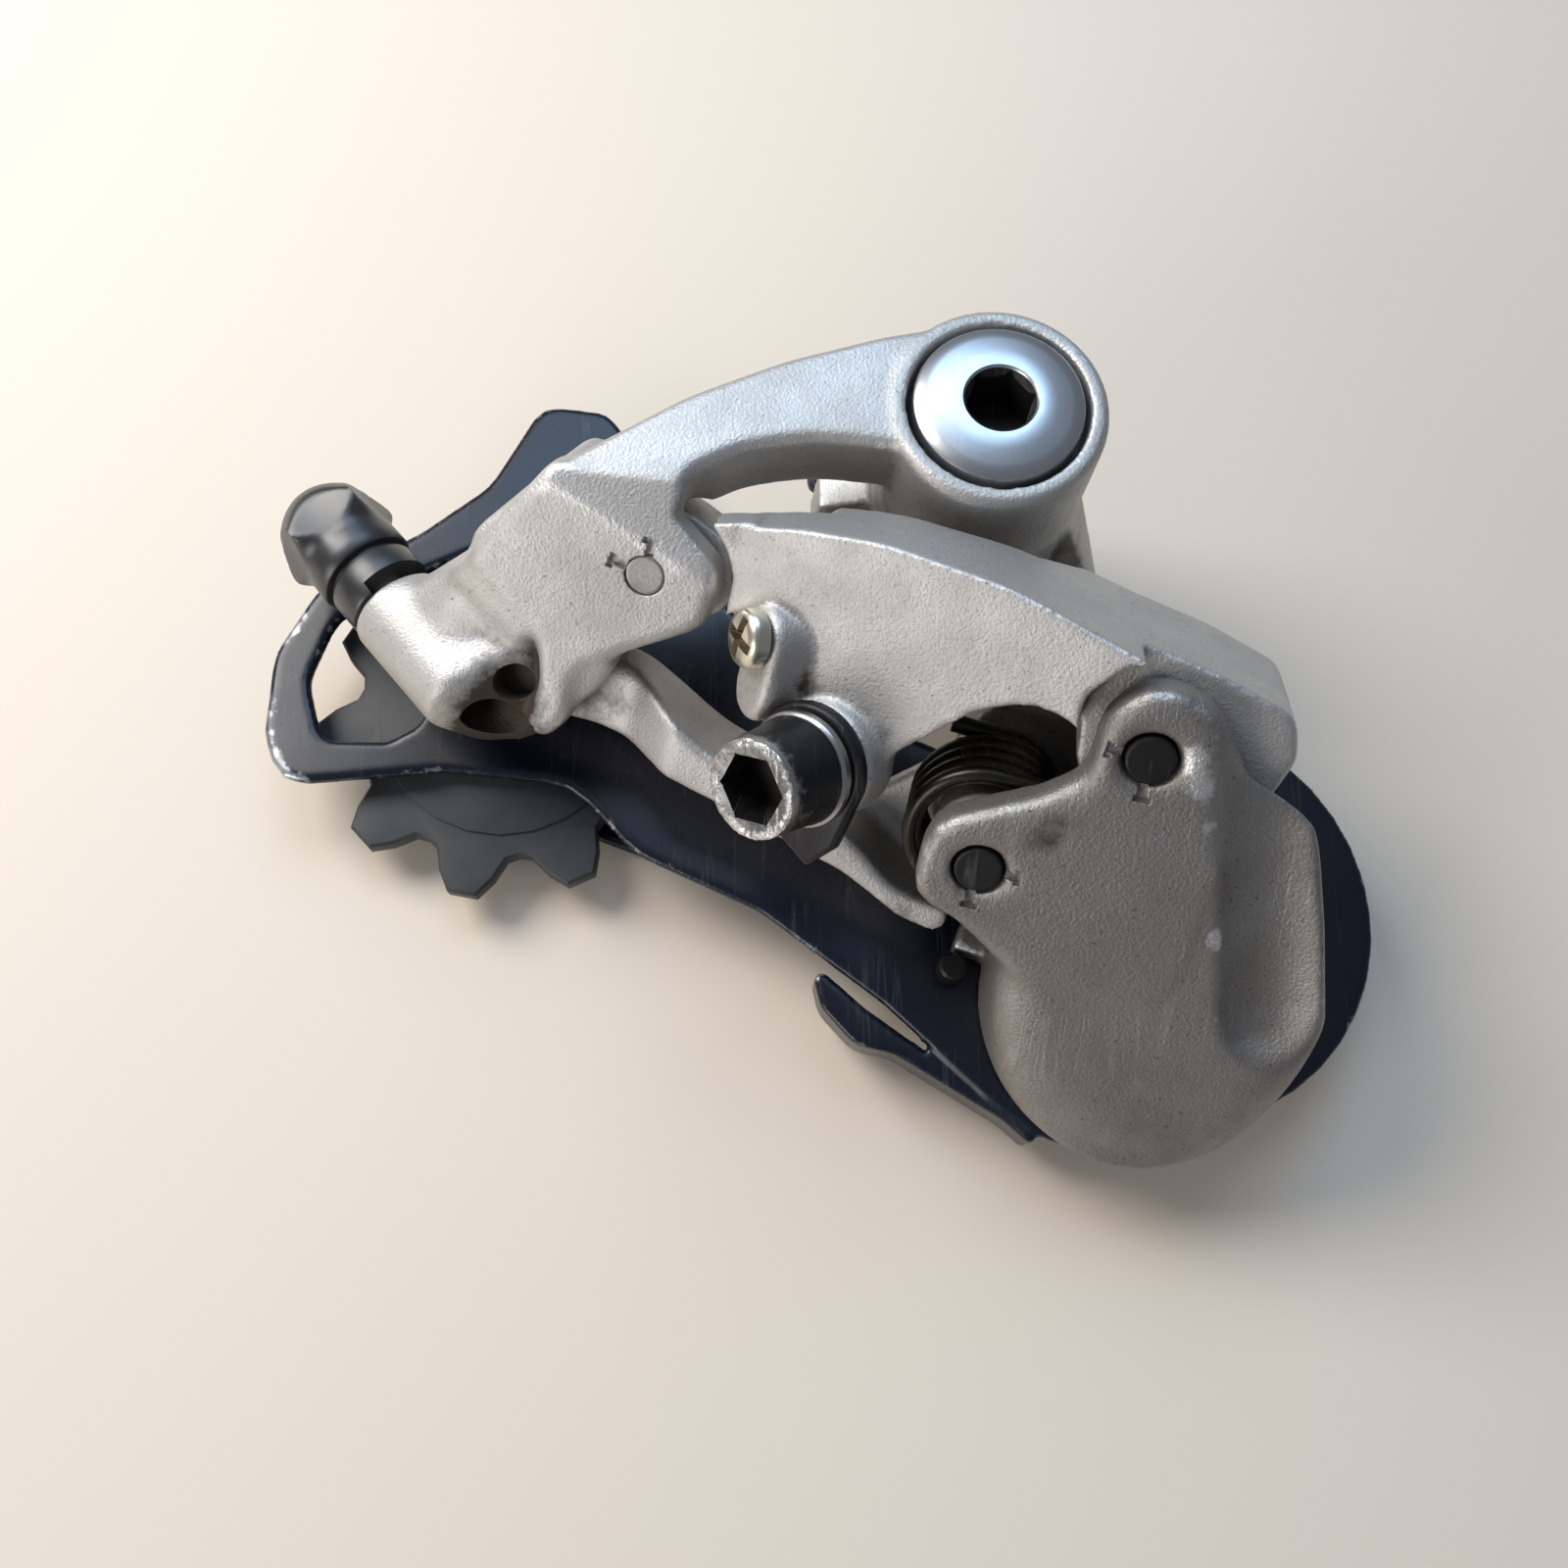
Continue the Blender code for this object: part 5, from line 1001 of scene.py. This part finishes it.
def cross_screw(name, length):
    """A screw with thread ribs and a crossed recess, from its tip up."""
    seat = length - 2.1
    pitch = 0.7
    rings = [(1.1, 0.0), (1.5, 0.4)]
    turns = int((seat - 1.0) / pitch)
    for turn in range(turns):
        rings.append((1.58, 0.6 + pitch * turn))
        rings.append((1.28, 0.95 + pitch * turn))
    rings += [
        (1.5, seat - 0.1), (2.75, seat), (2.9, seat + 0.15), (2.9, seat + 1.1), (2.8, seat + 1.45),
        (2.5, seat + 1.8), (1.8, seat + 2.02), (0.9, seat + 2.1),
    ]
    screw = turned(name, rings, 56)
    for turn in (0.0, math.pi / 2.0):
        cut(screw, block((4.4, 1.05, 1.9), (0.0, 0.0, seat + 1.75), turn + 0.5, 0.16))
    soft_shade(screw)
    return screw


class DERAILLEUR_OT_screws(bpy.types.Operator):
    """Model the cross-headed limit screws and the tension screw"""
    bl_idname = "derailleur.screws"
    bl_label = "Screws"

    def execute(self, context):
        # Node, body and the way from the tip to the head
        plans = (
            ("limit_screw_high", "outer_arm", (0.0, 0.0, 1.0)),
            ("limit_screw_low", "outer_arm", (0.0, 0.0, 1.0)),
            ("tension_screw", "bracket", (0.0, -1.0, 0.0)),
        )
        for node, body, towards in plans:
            matrix, length = spindle(node, towards)
            screw = cross_screw(node + "_cross", length)
            place(screw, matrix)
            mark_surface(screw, 0.08, 0.25)
            finish_piece(screw, body, "yellow_zinc", (node,))
        return {"FINISHED"}


def five_sides(knob):
    """Press five slightly hollow sides into the round grip, with soft corners between them."""
    grip_start = 8.0
    dome_radius = 4.0
    side_reach = 5.25
    side_curve = 1.25
    corner_blend = 0.22
    first_side = 0.35
    fifth = 2.0 * math.pi / 5.0
    for vertex in knob.data.vertices:
        height = vertex.co.z / MM
        radius = math.hypot(vertex.co.x, vertex.co.y) / MM
        if height < grip_start or radius < dome_radius:
            continue
        lean = (math.atan2(vertex.co.y, vertex.co.x) + first_side) % fifth - fifth / 2.0
        flat = side_reach / math.cos(lean) ** side_curve
        share = (radius - 0.5 * (math.hypot(radius - flat, corner_blend) + radius - flat)) / radius
        vertex.co.x *= share
        vertex.co.y *= share


class DERAILLEUR_OT_adjuster(bpy.types.Operator):
    """Model the barrel adjuster with its stepped collar, sleeve and five-sided domed grip"""
    bl_idname = "derailleur.adjuster"
    bl_label = "Barrel adjuster"

    def execute(self, context):
        matrix = spindle("barrel_adjuster", ADJUSTER_RUN)[0]
        rings = [
            (4.5, 0.0), (4.9, 0.2), (5.0, 0.5), (5.0, 2.0), (5.0, 3.9), (4.85, 4.2), (4.5, 4.35),
            (4.5, 4.75), (5.2, 4.9), (5.4, 5.2), (5.4, 6.4), (5.35, 7.6), (5.4, 8.2), (5.6, 8.8),
            (6.0, 9.3), (6.4, 9.7), (6.75, 10.2), (6.9, 10.7), (6.85, 11.2), (6.6, 11.7), (6.3, 12.1),
            (6.0, 12.5), (5.6, 13.1), (5.1, 13.8), (4.5, 14.5), (3.9, 15.1), (3.3, 15.6), (2.8, 15.9),
            (2.4, 15.95), (2.1, 15.8), (1.9, 15.2), (1.6, 14.6), (1.3, 13.0),
        ]
        knob = turned("adjuster_knob", rings, 160)
        five_sides(knob)
        cut(knob, block((8.4, 14.0, 1.7), (-2.6, 0.0, 0.6), 0.0, 0.12))
        soft_shade(knob)
        place(knob, matrix)
        finish_piece(knob, "adjuster", "adjuster_plastic", ("barrel_adjuster",))
        return {"FINISHED"}


class DERAILLEUR_OT_wheels(bpy.types.Operator):
    """Ease the teeth and hubs of the pulleys, their bolts and the plate on the hanger"""
    bl_idname = "derailleur.wheels"
    bl_label = "Pulleys and plates"

    def execute(self, context):
        moulded = ("pulley_plastic", "pulley_plastic", 0.35)
        machined = ("bolt_steel", "plain_steel", 0.18)
        plans = (
            ("guide_pulley", "guide_wheel_moulded", "guide_wheel", *moulded),
            ("tension_pulley", "tension_wheel_moulded", "tension_wheel", *moulded),
            ("guide_bolt", "guide_bolt_eased", "cage", *machined),
            ("tension_bolt", "tension_bolt_eased", "cage", *machined),
            ("hanger_stop_plate", "stop_plate_eased", "mount", "dark_steel", "black_oxide", 0.25),
        )
        for node, name, body, slot, finish_name, width in plans:
            piece = eased(node, name, width)
            finish_piece(piece, body, finish_name, (node,))
        return {"FINISHED"}


class DERAILLEUR_OT_spring(bpy.types.Operator):
    """Wind the link spring round the front inner pin"""
    bl_idname = "derailleur.spring"
    bl_label = "Link spring"

    def execute(self, context):
        wire = 1.9
        mean = 7.0
        pitch = 2.4
        curls = 4
        top = -6.55
        centre_u = LINK_LENGTH + INNER_PIN[0]
        centre_v = INNER_PIN[1]
        leg = wire * 3.0
        leg_v = centre_v + mean
        points = [(centre_u + leg, leg_v, top), (centre_u + leg / 2.0, leg_v, top)]
        steps = 40
        for index in range(curls * steps + 1):
            angle = math.radians(90.0) + 2.0 * math.pi * index / steps
            u = centre_u + mean * math.cos(angle)
            v = centre_v + mean * math.sin(angle)
            points.append((u, v, top - pitch * index / steps))
        bottom = top - pitch * curls
        points += [(centre_u - leg / 2.0, leg_v, bottom), (centre_u - leg, leg_v, bottom)]
        line = bpy.data.curves.new("link_spring_wound", "CURVE")
        line.dimensions = "3D"
        line.bevel_depth = wire / 2.0 * MM
        line.bevel_resolution = 5
        line.use_fill_caps = True
        route = line.splines.new("POLY")
        route.points.add(len(points) - 1)
        for target, point in zip(route.points, points):
            where = LINK @ Vector(point) * MM
            target.co = (*where, 1.0)
        spring = add_object("link_spring_wound", line)
        choose(spring)
        bpy.ops.object.convert(target="MESH")
        soft_shade(spring)
        finish_piece(spring, "knuckle", "oiled_wire", ("link_spring",))
        return {"FINISHED"}


def lay_floor(stage):
    bpy.ops.mesh.primitive_plane_add(size=4.0)
    floor = bpy.context.object
    floor.name = "floor"
    floor.data.transform(Matrix.Translation((0.0, 0.0, -FLOOR_DROP * MM)))
    material = bpy.data.materials.new("floor_paper")
    material.use_nodes = True
    surface = material.node_tree.nodes["Principled BSDF"]
    surface.inputs["Base Color"].default_value = (*stage.floor, 1.0)
    surface.inputs["Roughness"].default_value = 0.9
    floor.data.materials.append(material)


def add_lamp(name, where, size, power, colour):
    light = bpy.data.lights.new(name, "AREA")
    light.shape = "DISK"
    light.size = size
    light.energy = power
    light.color = colour
    lamp = add_object(name, light)
    aim = Vector(LIGHT_AIM) - where
    turn = aim.to_track_quat("-Z", "Y").to_matrix().to_4x4()
    lamp.matrix_world = Matrix.Translation(where) @ turn


class DERAILLEUR_OT_stage(bpy.types.Operator):
    """Set the plain floor, the soft lights and the camera"""
    bl_idname = "derailleur.stage"
    bl_label = "Stage"

    def execute(self, context):
        stage = context.scene.derailleur.stage
        scene = context.scene
        lay_floor(stage)
        world = bpy.data.worlds.new("soft_surround")
        world.use_nodes = True
        shade = world.node_tree.nodes["Background"]
        shade.inputs["Color"].default_value = (*stage.sky, 1.0)
        shade.inputs["Strength"].default_value = stage.sky_strength
        scene.world = world
        lamps = (
            ("key_light", (-0.27, 0.14, 0.31), 0.24, stage.key_power, (1.0, 0.97, 0.93)),
            ("sky_light", (0.00, 0.38, 0.58), 0.45, stage.key_power * 1.25, (0.50, 0.73, 1.0)),
            ("front_light", (-0.38, -0.33, 0.19), 0.28, stage.key_power * 0.55, (1.0, 0.97, 0.94)),
        )
        for name, where, size, power, colour in lamps:
            add_lamp(name, Vector(where), size, power, colour)
        lens = bpy.data.cameras.new("photo_camera")
        lens.lens = CAMERA_LENS
        lens.sensor_width = CAMERA_SENSOR
        lens.clip_start = MM
        camera = add_object("photo_camera", lens)
        turn = Matrix(CAMERA_ROWS).to_quaternion().to_matrix().to_4x4()
        camera.matrix_world = Matrix.Translation(Vector(CAMERA_PLACE) * MM) @ turn
        scene.camera = camera
        scene.view_settings.view_transform = "Standard"
        return {"FINISHED"}


class DERAILLEUR_PT_panel(bpy.types.Panel):
    """Lists the steps that model the derailleur"""
    bl_idname = "DERAILLEUR_PT_panel"
    bl_label = "Derailleur"
    bl_space_type = "VIEW_3D"
    bl_region_type = "UI"
    bl_category = "Derailleur"

    def draw(self, context):
        for step in STEPS:
            self.layout.operator(step.bl_idname)


STEPS = (
    DERAILLEUR_OT_finishes, DERAILLEUR_OT_castings, DERAILLEUR_OT_cage, DERAILLEUR_OT_bolts,
    DERAILLEUR_OT_screws, DERAILLEUR_OT_adjuster, DERAILLEUR_OT_wheels, DERAILLEUR_OT_spring,
    DERAILLEUR_OT_stage,
)
SETTINGS = (CastSettings, FinishSettings, StageSettings, DerailleurSettings)
CLASSES = SETTINGS + STEPS + (DERAILLEUR_PT_panel,)


def register():
    for item in CLASSES:
        bpy.utils.register_class(item)
    bpy.types.Scene.derailleur = PointerProperty(type=DerailleurSettings)


def unregister():
    del bpy.types.Scene.derailleur
    for item in reversed(CLASSES):
        bpy.utils.unregister_class(item)


def main():
    register()
    for step in STEPS:
        group, name = step.bl_idname.split(".")
        getattr(getattr(bpy.ops, group), name)()


if __name__ == "__main__":
    main()
